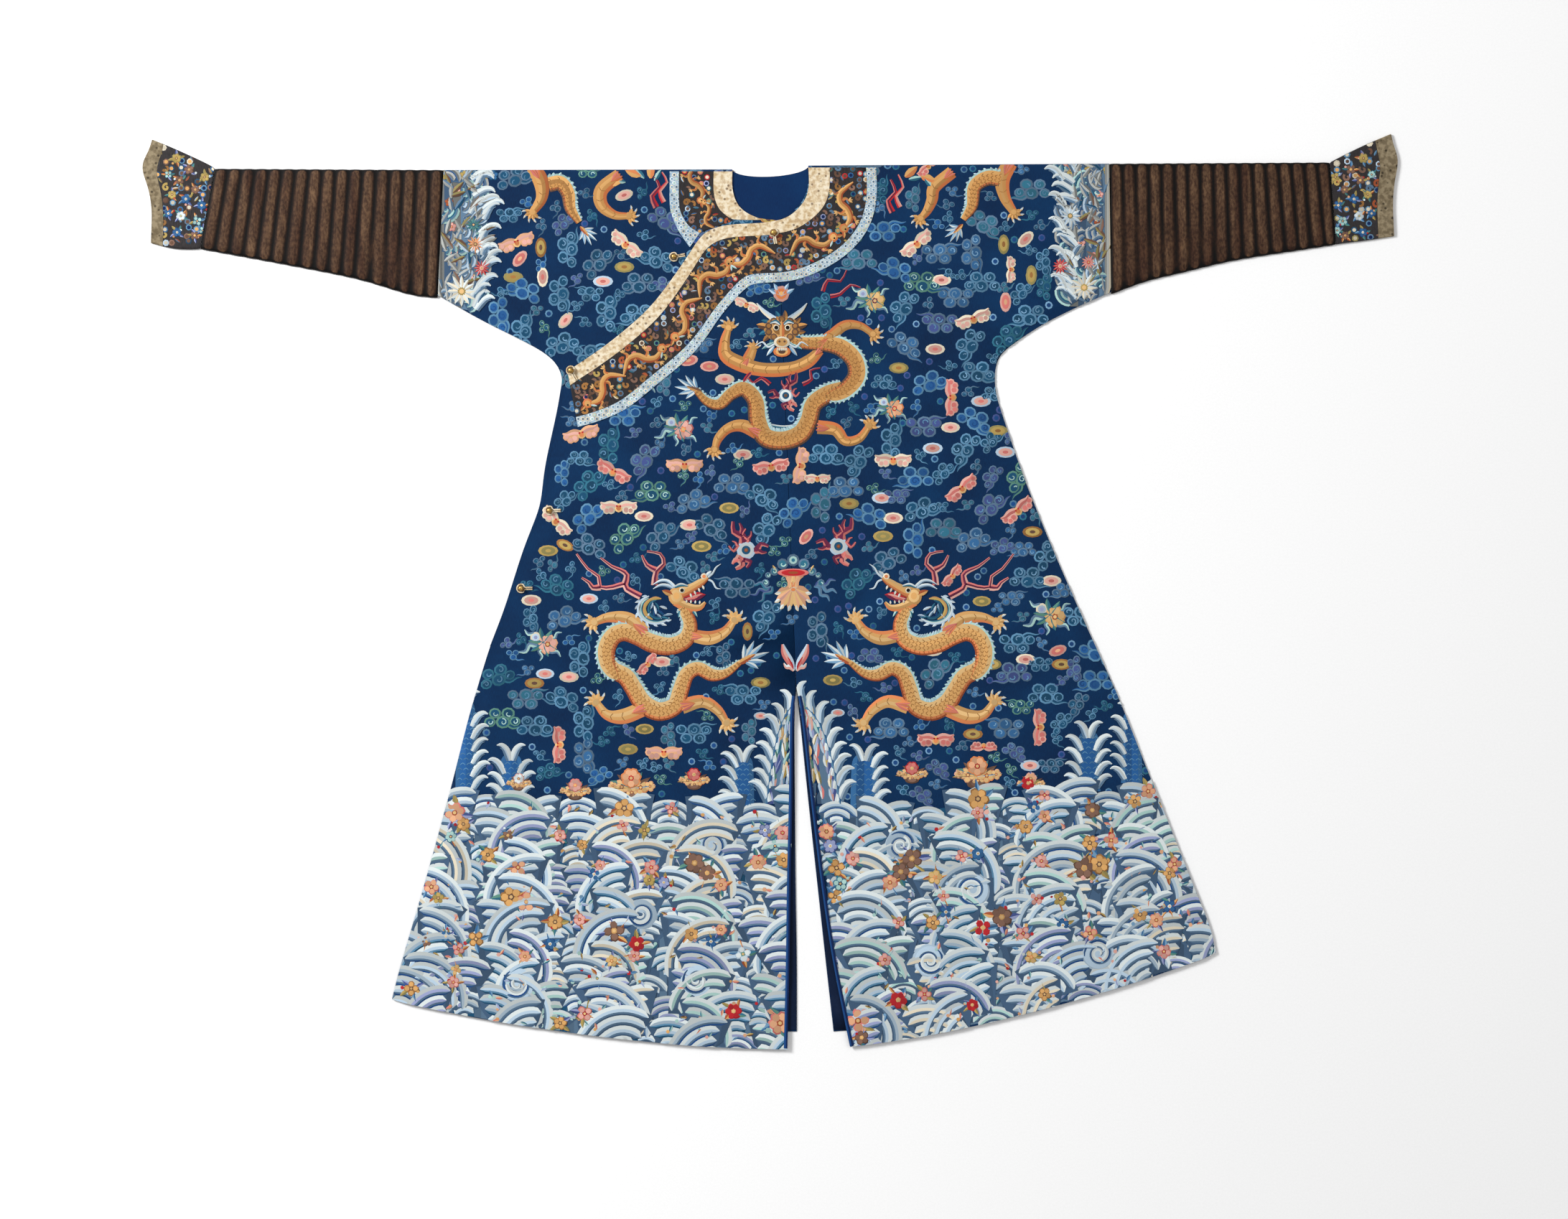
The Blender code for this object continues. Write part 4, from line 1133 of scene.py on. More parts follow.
# The lines of a finger of water across its width, their heights, and how far apart fingers are
FINGER_ACROSS = (-1, -0.25, 0.35, 0.7, 1)
FINGER_LIFTS = (0, 0.32, 0.3, 0.12, 0)
FINGER_PITCH = 16.2
# The flosses of a finger, from its outer edge
WAVE_COLOURS = (
    ("white", "pale", "slate", "deep"), ("white", "pale", "slate", "shadow"),
    ("white", "pale", "mist", "dusk"), ("white", "mint", "slate", "shadow"),
    ("white", "pale", "slate", "shadow"), ("white", "cream", "slate", "shadow"),
    ("white", "lilac", "slate", "deep"),
)
# How much higher a fan is for each millimetre towards its crest
TILT = 0.015


def wave_fan(s, x, y, radius, turn, spread=150, base=0.0, pitch=FINGER_PITCH, palette=WAVE_COLOURS):
    """Nested fingers of water. Each fan's crest stands above the fan behind it."""
    colours = s.random.choice(palette)
    lean = math.radians(turn - 90)
    rise = (TILT * math.sin(lean), TILT * math.cos(lean))
    with s.placed(x, y, turn - 90):
        low, high = 90 - spread / 2, 90 + spread / 2
        angles = np.radians(np.linspace(low - 4, high + 4, 14))
        shares = np.array([0.06, 0.5, 0.97])[:, None]
        px = -radius * shares * np.cos(angles)
        py = radius * shares * np.sin(angles)
        s.patch(px, py, 0.05 + base + rise[0] * px + rise[1] * py, ["shadow"] * 13)
        outer = radius
        while outer > 0.4 * pitch:
            half = min(pitch, outer) / 2
            middle = outer - half
            angles = np.radians(np.linspace(low, high, max(6, int(middle / 4.5) + 5)))
            along = np.linspace(0, 1, len(angles))
            width = half * np.sqrt(np.clip(1 - (2 * along - 1) ** 10, 0.02, 1))
            line = np.column_stack([-middle * np.cos(angles), middle * np.sin(angles), width])
            s.ribbon(line, colours, FINGER_ACROSS, FINGER_LIFTS, base + 0.1, rise)
            outer -= pitch
            low += s.random.uniform(-6, 9)
            high -= s.random.uniform(-6, 9)


def spiral(s, x, y, radius, turn=0, mirror=False):
    """A breaking crest that curls in on itself."""
    with s.placed(x, y, turn, radius / 38, mirror, base=1.3):
        s.rings(0, 0, (38, 31, 9), ("pale", "pale"), "pale", (-0.9, 0.2, 0.2), sides=22)
        angles = np.linspace(-0.4 * math.pi, 2.9 * math.pi, 40)
        reach = np.linspace(29, 5, 40)
        width = np.interp(np.arange(40), (0, 6, 30, 39), (1, 5, 4, 2))
        line = np.column_stack([reach * np.cos(angles), reach * np.sin(angles), width])
        s.ribbon(line, ("slate", "deep", "slate"), (-1, -0.5, 0.5, 1), (0.05, 0.1, 0.1, 0.05), 0.2)
        crest = line * (0.8, 0.8, 1.0)
        s.ribbon(crest[4:], ("white", "white"), (-1, 0, 1), (0.0, 0.4, 0.0), 0.2)


def curl(s, x, y, turn, length=20, left=False, base=0.4):
    """One finger of foam: it grows along turn and hooks over to its right, or to its left."""
    with s.placed(x, y, turn + (180 if left else 0), length / 20, left, base):
        hook = curve(((-6, 2, 3), (3, 3.2, 3.9), (12, 3, 3.7), (19, -1, 2.8), (21, -7, 0.7)), 3)
        s.ribbon(hook, ("white", "white", "pale"))
        shade = curve(((-5, -2.4, 1.3), (4, -1.8, 1.6), (12, -1.8, 1.2), (16, -4.5, 0.4)), 3)
        s.ribbon(shade, ("slate",), (-1, 1), (0.1, 0.2))


def foam(s, points, side, pitch=17, length=20, lean=38):
    """Curls that grow out of a line on one side of it: 1 is to the left of its way, -1 to the right."""
    for x, y, _, turn in steps_along(curve([(x, y, 1) for x, y in points], 8), pitch / 2, pitch):
        curl(s, x, y, turn + side * lean, length * s.random.uniform(0.9, 1.1), side > 0)


def rock(s, x, y, width, height, foamy):
    """A blue pillar with rows of small scales. foamy names its sides that are in foam."""
    w = width / 2
    pillar = ((0, 0, w), (0, height * 0.5, w * 0.96), (0, height * 0.86, w * 0.86), (0, height, w * 0.5))
    blues = ("mid", "steel", "steel", "mid")
    with s.placed(x, y, base=0.2):
        s.ribbon(curve(pillar, 6), blues, (-1, -0.6, 0, 0.6, 1), (-0.1, 0.4, 0.5, 0.4, -0.1))
        for row in range(int(height / 8) - 1):
            for k in range(-1, 2):
                px = (k + 0.5 * (row % 2)) * w * 0.6
                scale = [(px - 4, 4 + row * 8, 0.4), (px, 7 + row * 8, 0.6), (px + 4, 4 + row * 8, 0.4)]
                s.arc(scale, "mist", 0.5, 0.62)
        for side in (-1, 1):
            if side in foamy:
                out = side * w
                edge = ((out * 0.9, 0), (out * 0.9, height * 0.5), (out * 0.8, height * 0.85))
                foam(s, edge, -side, 20, 23)
            curl(s, side * w * 0.3, height * 0.94, 90 - side * 24, 23, side < 0, 0.5)


# ---------------------------------------------------------------- the cloth

# node, slot, and the flat width, length and area of its sheet in metres
CLOTH = (
    ("body_left", "blue_silk", 0.71, 2.81, 1.30),
    ("body_right", "blue_silk", 0.64, 2.13, 1.00),
    ("front_overlap", "blue_silk", 0.64, 1.32, 0.575),
    ("neck_lining", "navy_lining", 0.30, 0.19, 0.040),
    ("vent_lining_left", "navy_lining", 0.063, 0.65, 0.0396),
    ("vent_lining_right", "navy_lining", 0.063, 0.615, 0.0375),
    ("sleeve_left", "ribbed_brown", 0.42, 0.361, 0.1162),
    ("sleeve_right", "ribbed_brown", 0.412, 0.387, 0.1235),
    ("cuff_left", "black_satin", 0.30, 0.085, 0.0212),
    ("cuff_right", "black_satin", 0.31, 0.085, 0.0226),
    ("cuff_edge_left", "gold_brocade", 0.33, 0.03, 0.0087),
    ("cuff_edge_right", "gold_brocade", 0.33, 0.03, 0.0069),
    ("collar_overlap", "black_satin", 0.065, 0.64, 0.0393),
    ("collar_under", "black_satin", 0.06, 0.11, 0.0056),
    ("collar_back", "black_satin", 0.06, 0.30, 0.0156),
    ("edging_overlap", "gold_brocade", 0.024, 0.57, 0.0129),
    ("edging_under", "gold_brocade", 0.034, 0.11, 0.0027),
    ("edging_back", "gold_brocade", 0.034, 0.20, 0.0052),
    ("border_overlap", "pale_braid", 0.017, 0.68, 0.0111),
    ("border_under", "pale_braid", 0.015, 0.14, 0.0021),
    ("border_back", "pale_braid", 0.016, 0.43, 0.0066),
)
# What each sheet lies on, where that isn't the floor
RESTS_ON = {
    "front_overlap": ("body_left", "body_right"),
    "neck_lining": ("body_left", "body_right"),
    "vent_lining_left": ("body_right", "body_left"),
    "vent_lining_right": ("body_left", "body_right"),
    "collar_overlap": ("front_overlap", "body_left"),
    "collar_under": ("body_right",),
    "collar_back": ("body_left", "body_right"),
    "edging_overlap": ("collar_overlap",),
    "edging_under": ("collar_under",),
    "edging_back": ("collar_back",),
    "border_overlap": ("front_overlap", "body_left"),
    "border_under": ("body_right",),
    "border_back": ("body_left", "body_right"),
}

shells = {}
for node, slot, *_ in CLOTH:
    shells[node] = fine_cloth(node + "_cloth", node, slot, 1 if node.startswith("sleeve") else 2)

# The navy lining darkened into painted shade, for the linings seen inside the vents
PAINTED_SHADE_VENT_LINING = silk("vent_lining_painted_shade_silk", (5, 18, 40), (9, 26, 54), (16, 36, 66))
# The sheets whose cloth isn't their slot's own: the vent linings get the navy lining darkened as painted
# shade
for kind, cloth in (("vent_lining_", PAINTED_SHADE_VENT_LINING), ("cuff_edge_", CUFF_BROCADE)):
    for hand in ("left", "right"):
        shells[kind + hand].data.materials[0] = cloth

front = Panel(("body_left", "body_right", "front_overlap"))
back = Panel(("body_left", "body_right"), up=-1, least=BACK_LEAST)

sewn = {node: [] for node in shells}


def sew_on(sheet, *works):
    """Sews each work as a piece that goes with the sheet."""
    slot = next(slot for node, slot, *_ in CLOTH if node == sheet)
    sewn[sheet] += [s.sew(slot) for s in works]


# ---------------------------------------------------------------- where the motifs lie

# x and y along the top of the waves and along the hem, on each side of the slit
WAVE_TOP_LEFT = ((-620, -322), (-500, -325), (-300, -330), (-60, -345), (40, -330))
WAVE_TOP_RIGHT = ((90, -330), (160, -345), (300, -330), (500, -318), (720, -305))
HEM_LEFT = (
    (-640, -642), (-602, -650), (-500, -672), (-400, -690), (-300, -705), (-200, -718), (-100, -727),
    (40, -729),
)
HEM_RIGHT = ((90, -727), (128, -725), (250, -706), (400, -672), (550, -630), (720, -572))
# The sleeves' wave bands lie outside these x and above this y.
BAND_X = (-440, 456)
BAND_LOW = 440
# minus y and x along the edge that closes the wearer's right side, its top, and the margin along it
CLOSING_EDGE = ((-350, -337), (-150, -365), (0, -416), (100, -452), (300, -506), (400, -530))
CLOSING_TOP = 330
CLOSING_MARGIN = 26
# The slit's middle at the hem, and minus y and the two x between which its mountain stands
SLIT_X = 65
MOUNTAIN_Y = (60, 345)
MOUNTAIN_X = ((20, -14), (60, 122))
# The dragons that stride to the right mirror the others about half of this x, over the slit.
MIRROR_X = 80


def level(line, x):
    """The height y of a line at x."""
    return np.interp(x, [p[0] for p in line], [p[1] for p in line])


# Motifs keep this share of their radius clear of other stitches.
CLEAR_SHARE = 0.9


class Ground:
    """The ground cloth that is still bare."""

    def __init__(self, stitched):
        # a third of the points is enough to know where stitches are
        places = np.vstack([points for s in stitched for points in s.points])[::3]
        self.tree = KDTree(len(places))
        for k, (x, y) in enumerate(places):
            self.tree.insert((x, y, 0), k)
        self.tree.balance()
        self.taken = np.empty((0, 3))

    def gap(self, x, y):
        """How far the nearest stitch is."""
        return self.tree.find((x, y, 0))[2]

    def free(self, x, y, r, share):
        """Whether a motif of this radius fits. share is how much of two radii lies between motifs."""
        if self.gap(x, y) < CLEAR_SHARE * r:
            return False
        gap = np.hypot(self.taken[:, 0] - x, self.taken[:, 1] - y)
        return not (gap < share * (self.taken[:, 2] + r)).any()

    def take(self, x, y, r):
        """Keeps a place for a motif."""
        self.taken = np.vstack([self.taken, (x, y, r)])


def clouded(x, y, trim):
    """Whether clouds belong at these places: clear of the waves, bands, closing side, mountain and trim."""
    top = np.where(x < SLIT_X, level(WAVE_TOP_LEFT, x), level(WAVE_TOP_RIGHT, x))
    band = (y > BAND_LOW) & ((x < BAND_X[0]) | (x > BAND_X[1]))
    side = (y < CLOSING_TOP) & (x < level(CLOSING_EDGE, -y) + CLOSING_MARGIN)
    left, right = (np.interp(-y, MOUNTAIN_Y, edge) for edge in MOUNTAIN_X)
    mountain = (y < -MOUNTAIN_Y[0]) & (x > left) & (x < right)
    return (y > top - 6) & ~band & ~side & ~mountain & ~trim.inside(np.column_stack([x, y]))


# What fills the bare ground, large first: radius, share of two radii that is kept between motifs, tries,
# and a cloud's size and lobes
FILLINGS = (
    (26, 0.88, 12000, 1.0, 5), (18, 0.88, 9000, 0.72, 5), (11, 0.9, 9000, 0.5, 3), (6.5, 1, 6000, 0, 0),
)
# Motifs of this radius are ovals and bats too: draws below each share are gold ovals, ovals and bats.
MIXED = 18
GOLD_SHARE, OVAL_SHARE, BAT_SHARE = 0.06, 0.22, 0.28


def scatter(s, panel, ground, trim):
    """Clouds, ovals, bats and dots over the bare ground."""
    for r, share, tries, size, lobes in FILLINGS:
        places = np.array([
            (s.random.uniform(panel.low[0], panel.high[0]), s.random.uniform(panel.low[1], panel.high[1]))
            for _ in range(tries)
        ])
        places = places[panel.inside(places) & clouded(*places.T, trim)]
        for x, y in places:
            if not ground.free(x, y, r, share):
                continue
            ground.take(x, y, r)
            kind = s.random.random()
            turn = s.random.choice((0, 0, 20, -25, 50, 90, 180))
            if r == MIXED and kind < OVAL_SHARE:
                oval(s, x, y, turn, 0.8, kind < GOLD_SHARE)
            elif r == MIXED and kind < BAT_SHARE:
                bat(s, x, y, turn, 0.72)
            elif lobes:
                cloud(s, x, y, turn, size, lobes)
            else:
                edge = s.random.choice(("mist", "sky", "teal", "violet"))
                s.rings(x, y, (6.5, 3.6), (edge,), "deep", sides=8)


# x, y, turn and kind: o is pale, s small and pale, g gold
OVALS = (
    (-128, 106, 0, "o"), (-380, -14, 0, "o"), (-172, -112, 0, "o"), (-320, -136, 0, "o"),
    (-15, -198, 0, "s"), (196, 117, 0, "o"), (448, 17, 0, "o"), (259, -94, 0, "o"), (407, -108, 0, "o"),
    (108, -193, 0, "s"), (414, -277, 0, "o"), (273, 496, 0, "o"), (375, 461, 90, "o"),
    (263, 386, 0, "o"), (336, 303, 0, "o"), (259, 228, 0, "o"), (375, 222, 0, "o"), (-43, 218, 0, "o"),
    (-72, 338, 0, "o"), (-130, 368, 10, "o"), (-362, 501, 90, "o"), (-266, 494, 0, "o"),
    (407, 561, 45, "o"), (178, 149, 0, "o"), (-353, 65, 0, "g"), (-109, 72, 0, "g"),
    (-375, -146, 0, "g"), (-15, -145, 0, "g"), (-226, -251, 0, "g"), (126, 140, 0, "g"),
    (180, 88, 0, "g"), (418, 95, 0, "g"), (464, -116, 0, "g"), (353, -116, 0, "g"), (100, -141, 0, "g"),
    (323, -227, 0, "g"), (416, 504, 90, "g"), (205, 356, 0, "g"), (363, 256, 0, "g"),
    (-65, 133, 0, "g"), (-365, 548, 90, "g"), (-409, 501, 0, "g"), (-232, 517, 0, "g"),
    (372, 553, 90, "g"),
)
BATS = (
    (-341, 111, -45), (-241, 133, 0), (-335, -244, 90), (-169, -258, 0), (395, 128, 40),
    (430, -216, 90), (264, -237, 0), (324, 433, 20), (290, 309, 90), (196, 208, 0), (-136, 200, 0),
    (2, 198, 10), (50, 200, 80), (306, 163, 40), (-403, 555, 20), (-230, 552, -40), (234, 553, 40),
    (-300, 250, 15), (-250, 190, -30),
)
# x, y, size and colours of the petals' edge, petals and centre
EMBLEMS = (
    (-361, -81, 1.0, ("peach", "pink", "rust")), (446, -37, 1.1, ("gold", "light_gold", "rust")),
    (-145, 261, 1.0, ("rose", "pink", "orange")), (192, 294, 0.9, ("orange", "peach", "red")),
    (160, 466, 1.0, ("ochre", "light_gold", "plum")), (-205, 335, 0.8, ("peach", "pink", "red")),
)
# The bouquets on the waves' top, in the same way
POTS = (
    (-221, -301, 30, ("orange", "peach", "red")), (-121, -294, 20, ("red", "rose", "light_gold")),
    (-310, -311, 20, ("rose", "pink", "orange")), (330, -282, 30, ("orange", "peach", "red")),
    (226, -284, 20, ("red", "rose", "light_gold")), (415, -300, 18, ("pink", "peach", "olive")),
    (-400, -300, 16, ("pink", "white", "rust")),
)


def centre_emblem(s):
    """Scrolls over a red dish and a hanging flower of orange petals, between two flaming pearls."""
    pearl(s, -38, 66, True)
    pearl(s, 109, 72)
    for k, (x, turn) in enumerate(((0, 200), (2, 165), (74, -20), (72, 15), (4, 225), (70, -45))):
        streamer(s, x, 8, turn, 34, (("violet", "slate"), ("teal", "slate"), ("slate", "mist"))[k % 3])
    for _ in s.mirrored(37, 0):
        for heading, reach in ((-22, 27), (-42, 34), (-62, 37), (-82, 35)):
            petal = ("peach", ("pink", "light_gold")[reach % 2])
            s.leaf(1, 6, reach, 15, heading, petal, 0.1 + 0.01 * reach, bend=2)
            with s.placed(1, 6, heading, base=0.5):
                s.leaf(reach - 7, 0, 10, 6, 0, ("white", "cream"), 0.3, bend=2)
        for lx, ly, r in ((17, 44, 9), (30, 32, 7), (44, 14, 6), (40, 26, 5)):
            s.rings(lx, ly, (r, 0.66 * r), ("slate",), "teal", (-0.1, 0.4), 0.15, 9)
            swirl(s, lx, ly, 0.6 * r, 1.1, 1.1, ("mint",), 0.5)
        for k, turn in enumerate((-150, -125, -100, -75)):
            s.leaf(18 - 6 * k, 30, 26, 12, turn, ("peach", ("orange", "light_gold")[k % 2]), 0.3 + 0.08 * k)
        s.leaf(26, 30, 14, 5, 60, ("light_gold", "olive"), 0.3)
    s.rings(37, 50, (10, 6.5, 3), ("slate", "mint"), "teal", base=0.4)
    s.rings(37, 30, (25, 19, 8), ("rose", "red"), "rust", (-0.1, 0.5, 0.5), 0.7, 16, 0.26)
    s.rings(37, 3, (8, 4), ("cream",), "orange", (-0.1, 0.5), 0.5, 9, 0.7)


def butterfly(s, x, y):
    """Two tall wings over the top of the slit."""
    for _ in s.mirrored(x, y, 0.2):
        wing = curve(((3, -2, 3), (8, 10, 6), (16, 24, 6), (20, 38, 2)), 4)
        s.ribbon(wing, ("pale", "pink", "rose"), base=0.1)
        s.ridge(((2, -4, 2), (8, 2, 4), (14, 2, 3), (18, 8, 1)), 4, ("white", "pink"), 0, 0.5, 0.2)
        s.leaf(3, -2, 22, 6, 66, ("red", "rose"), 0.6)


# The parts of two dragons that come over the shoulders: legs, tail, its tuft's place and heading, and fire
SHOULDERS = (
    (
        (
            ((-376, 676, 12), (-364, 650, 12), (-364, 626, 9), (-378, 604, 6), -120),
            ((-240, 664, 10), (-268, 640, 11), (-268, 616, 10), (-248, 600, 7), (-224, 598, 5), -5),
        ),
        ((-352, 648, 12), (-334, 650, 12), (-322, 634, 11), (-318, 610, 9), (-304, 588, 5)),
        (-296, 574, -50),
        ((-181, 612), (-188, 630), (-176, 644), (-184, 660)),
    ),
    (
        (
            ((382, 682, 12), (370, 656, 12), (374, 628, 9), (388, 604, 6), -60),
            ((290, 668, 10), (262, 644, 10), (258, 624, 9), (250, 606, 7), (240, 594, 5), -125),
        ),
        ((368, 656, 12), (346, 658, 12), (326, 644, 11), (322, 614, 9), (308, 592, 5)),
        (300, 578, -135),
        ((195, 604), (188, 622), (200, 636), (192, 656)),
    ),
)
# x, y and turn of the leaves of hair between them
SHOULDER_LEAVES = ((-236, 656, 200), (-206, 662, 160), (-190, 658, 90), (240, 662, -20), (215, 660, 40))


def shoulder_dragons(s):
    """The legs, tails and fires of two dragons that come over the shoulders."""
    for legs, tail, tuft, flames in SHOULDERS:
        with s.dyed(DARK_GOLDS):
            for *points, turn in legs:
                leg(s, points, turn, 0.85)
            dragon_body(s, tail, tail[0][0] < 0, 0.4)
        tail_tuft(s, *tuft, 0.8)
        flame(s, flames, 5)
        flame(s, [(x + 12, y + 8) for x, y in flames], 4, ("red", "rose", "pink"))
    for x, y, turn in SHOULDER_LEAVES:
        s.leaf(x, y, 26, 13, turn, ("gold", "orange"), 0.6)
        s.leaf(x + 6, y - 4, 22, 8, turn - 30, ("mint", "teal"), 0.5)


# The mountain at the slit: the line that its foam grows from, on each side
SLIT_FOAM_LEFT = ((-10, -338), (-5, -300), (1, -262), (8, -230), (17, -204), (29, -184), (38, -170))
SLIT_FOAM_RIGHT = (
    (116, -338), (109, -300), (101, -262), (91, -230), (79, -204), (62, -184), (48, -170),
)
# The cloth's edges along the slit
SLIT_EDGE_LEFT = ((41, -166), (38, -201), (36, -327), (33, -465), (31, -602), (28, -727))
SLIT_EDGE_RIGHT = ((44, -166), (50, -201), (64, -327), (81, -465), (100, -591), (127, -723))
SWIRLS = (
    ("cream", "light_gold"), ("pale", "pink"), ("white", "green"), ("lilac", "violet"),
    ("cream", "olive"), ("white", "rose"), ("pale", "slate"), ("mint", "teal"), ("white", "ochre"),
    ("pale", "lilac"),
)

# The waves' treasures, drawn as flowers: x, y, size, and a letter for the petals' edge, petals and centre
TREASURE_COLOURS = {
    "p": ("rose", "peach", "rust"), "g": ("dark_gold", "gold", "brown"), "t": ("teal", "mint", "navy"),
    "k": ("rose", "pink", "red"), "o": ("olive", "ochre", "brown"), "b": ("brown", "umber", "gold"),
    "v": ("violet", "lilac", "white"), "r": ("red", "red", "light_gold"), "u": ("deep", "mid", "white"),
    "y": ("ochre", "light_gold", "orange"), "w": ("pale", "white", "green"),
}
TREASURES = (
    (-502, -352, 34, "p"), (-488, -370, 22, "g"), (-508, -390, 20, "t"), (-334, -388, 20, "k"),
    (-299, -403, 18, "g"), (-232, -345, 34, "g"), (-234, -372, 22, "k"), (-200, -380, 20, "o"),
    (-449, -419, 24, "g"), (-401, -439, 28, "p"), (-417, -388, 18, "b"), (-539, -470, 26, "p"),
    (-528, -488, 20, "o"), (-412, -486, 36, "g"), (-388, -494, 34, "p"), (-342, -526, 26, "g"),
    (-303, -522, 20, "k"), (-468, -553, 26, "g"), (-516, -549, 20, "u"), (-350, -561, 20, "u"),
    (-496, -569, 20, "k"), (-390, -581, 20, "p"), (-547, -557, 18, "b"), (-192, -459, 20, "o"),
    (-169, -463, 20, "v"), (-189, -439, 24, "k"), (-120, -432, 34, "b"), (-100, -448, 28, "b"),
    (-78, -467, 22, "p"), (-125, -545, 24, "g"), (-78, -538, 20, "p"), (-94, -557, 20, "u"),
    (-248, -540, 34, "b"), (-212, -561, 26, "r"), (-216, -580, 20, "k"), (-252, -588, 20, "y"),
    (-19, -431, 26, "p"), (20, -384, 26, "k"), (22, -427, 26, "g"), (8, -405, 22, "t"),
    (-8, -380, 22, "v"), (-58, -668, 26, "r"), (16, -687, 38, "p"), (-295, -672, 26, "k"),
    (-334, -687, 22, "g"), (-571, -632, 24, "g"), (-500, -602, 18, "y"), (-504, -622, 20, "k"),
    (-275, -616, 22, "w"), (-43, -577, 26, "w"), (-157, -345, 20, "k"), (-280, -450, 20, "u"),
    (-270, -436, 18, "k"), (331, -330, 36, "g"), (331, -352, 22, "k"), (411, -305, 22, "r"),
    (602, -318, 26, "p"), (581, -334, 24, "g"), (437, -324, 22, "k"), (420, -343, 22, "u"),
    (407, -374, 24, "g"), (437, -357, 22, "p"), (513, -348, 26, "b"), (509, -400, 26, "g"),
    (543, -396, 24, "p"), (500, -440, 36, "b"), (524, -434, 32, "g"), (432, -429, 22, "k"),
    (305, -421, 22, "k"), (331, -417, 22, "u"), (644, -434, 24, "p"), (636, -448, 22, "g"),
    (226, -425, 34, "b"), (208, -446, 30, "b"), (191, -463, 26, "p"), (263, -455, 24, "y"),
    (280, -510, 22, "u"), (259, -527, 24, "g"), (276, -484, 20, "k"), (132, -425, 24, "k"),
    (106, -440, 28, "g"), (112, -465, 24, "t"), (104, -486, 24, "g"), (96, -405, 24, "v"),
    (90, -382, 26, "p"), (204, -527, 20, "k"), (339, -535, 28, "r"), (369, -518, 34, "b"),
    (403, -544, 24, "k"), (424, -489, 22, "k"), (462, -489, 24, "o"), (466, -531, 22, "u"),
    (509, -544, 24, "p"), (589, -514, 26, "g"), (615, -523, 24, "p"), (636, -501, 22, "u"),
    (183, -586, 22, "k"), (204, -650, 28, "r"), (246, -641, 22, "k"), (322, -658, 20, "r"),
    (416, -582, 22, "y"), (437, -641, 22, "g"), (627, -573, 24, "k"), (140, -683, 38, "p"),
    (146, -710, 24, "b"),
)
TREASURE_LEAVES = (
    ("teal", "green"), ("mid", "sky"), ("olive", "ochre"), ("gold", "rust"), ("violet", "lilac"),
)
BUDS = ("pink", "white", "peach", "red", "gold", "mint", "sky")
BUD_COUNT = 130
BUD_LEAVES = (
    ("ochre", "brown"), ("mid", "sky"), ("peach", "rose"), ("teal", "mint"), ("pale", "lilac"),
)
# The cloth between the fans, the rows of fans from top to hem, and how far apart fans are in a row
WAVE_GROUNDS = ("slate", "shadow", "slate", "shadow", "dusk")
WAVE_ROWS = 9
FAN_STEP = 72
# side, x, y and radius
SPIRALS = (
    ("left", -93, -404, 29), ("left", -205, -513, 27), ("left", -402, -625, 31),
    ("left", -117, -619, 29), ("right", 208, -404, 29), ("right", 322, -475, 31),
    ("right", 254, -588, 29), ("right", 523, -576, 30),
)
# side, x, y, width, height and the sides in foam
ROCKS = (
    ("left", -43, -345, 36, 84, (-1,)), ("right", 150, -345, 44, 86, (1,)),
    ("left", -412, -335, 38, 76, (-1, 1)), ("right", 507, -318, 38, 96, (-1, 1)),
    ("left", -484, -320, 34, 150, (1,)), ("right", 576, -305, 34, 115, (-1,)),
)


def treasure(s, x, y, size, key, base=1.45):
    """A flower among leaves and buds."""
    colours = TREASURE_COLOURS[key]
    with s.placed(x, y, s.random.uniform(-30, 30), size / 22, base=base):
        for k in range(4):
            heading = 90 * k + s.random.uniform(0, 60)
            threads = s.random.choice(TREASURE_LEAVES)
            s.leaf(5 * math.cos(k * 1.6), 5 * math.sin(k * 1.6), 15, 6.5, heading, threads, -0.1)
        flower(s, 0, 0, 11.5, colours, s.random.choice((4, 5, 6)), s.random.uniform(0, 70))
        for _ in range(2):
            dot(s, s.random.uniform(-14, 14), s.random.uniform(-12, 12), 2.8, s.random.choice(BUDS), 0.25)


# x, y, size and edge of the flowers in front of a bouquet
BOUQUET_FLOWERS = (
    (-29, -8, 8, "pink"), (30, -9, 9, "peach"), (-15, -10, 13, "peach"), (15, -11, 13, "orange"),
    (1, -19, 11, "peach"),
)


def bouquet(s, x, y, size, colours):
    """A crowd of flowers and leaves over a low brown bowl."""
    with s.placed(x, y, 0, size / 30, base=0.9):
        for k, turn in enumerate((2, 24, 50, 76, 104, 130, 156, 178)):
            threads = (("slate", "pale"), ("brown", "umber"), ("teal", "green"), ("umber", "ochre"))[k % 4]
            s.leaf(0, -12, 40 - 12 * math.sin(math.radians(turn)), 9, turn, threads, 0.1, bend=3)
        s.rings(0, -24, (17, 10), ("brown",), "umber", base=0.1, sides=12, flat=0.5)
        for fx, fy, r, edge in BOUQUET_FLOWERS:
            flower(s, fx, fy, r, (edge, "light_gold", "rust"), 5, 30 * r)
        with s.placed(base=0.5):
            flower(s, 0, 4, 17, colours, 7)


def across_slit(line, y):
    """The x of a line beside the slit at a height y."""
    line = sorted(line, key=lambda p: -p[1])
    return np.interp(-y, [-p[1] for p in line], [p[0] for p in line])


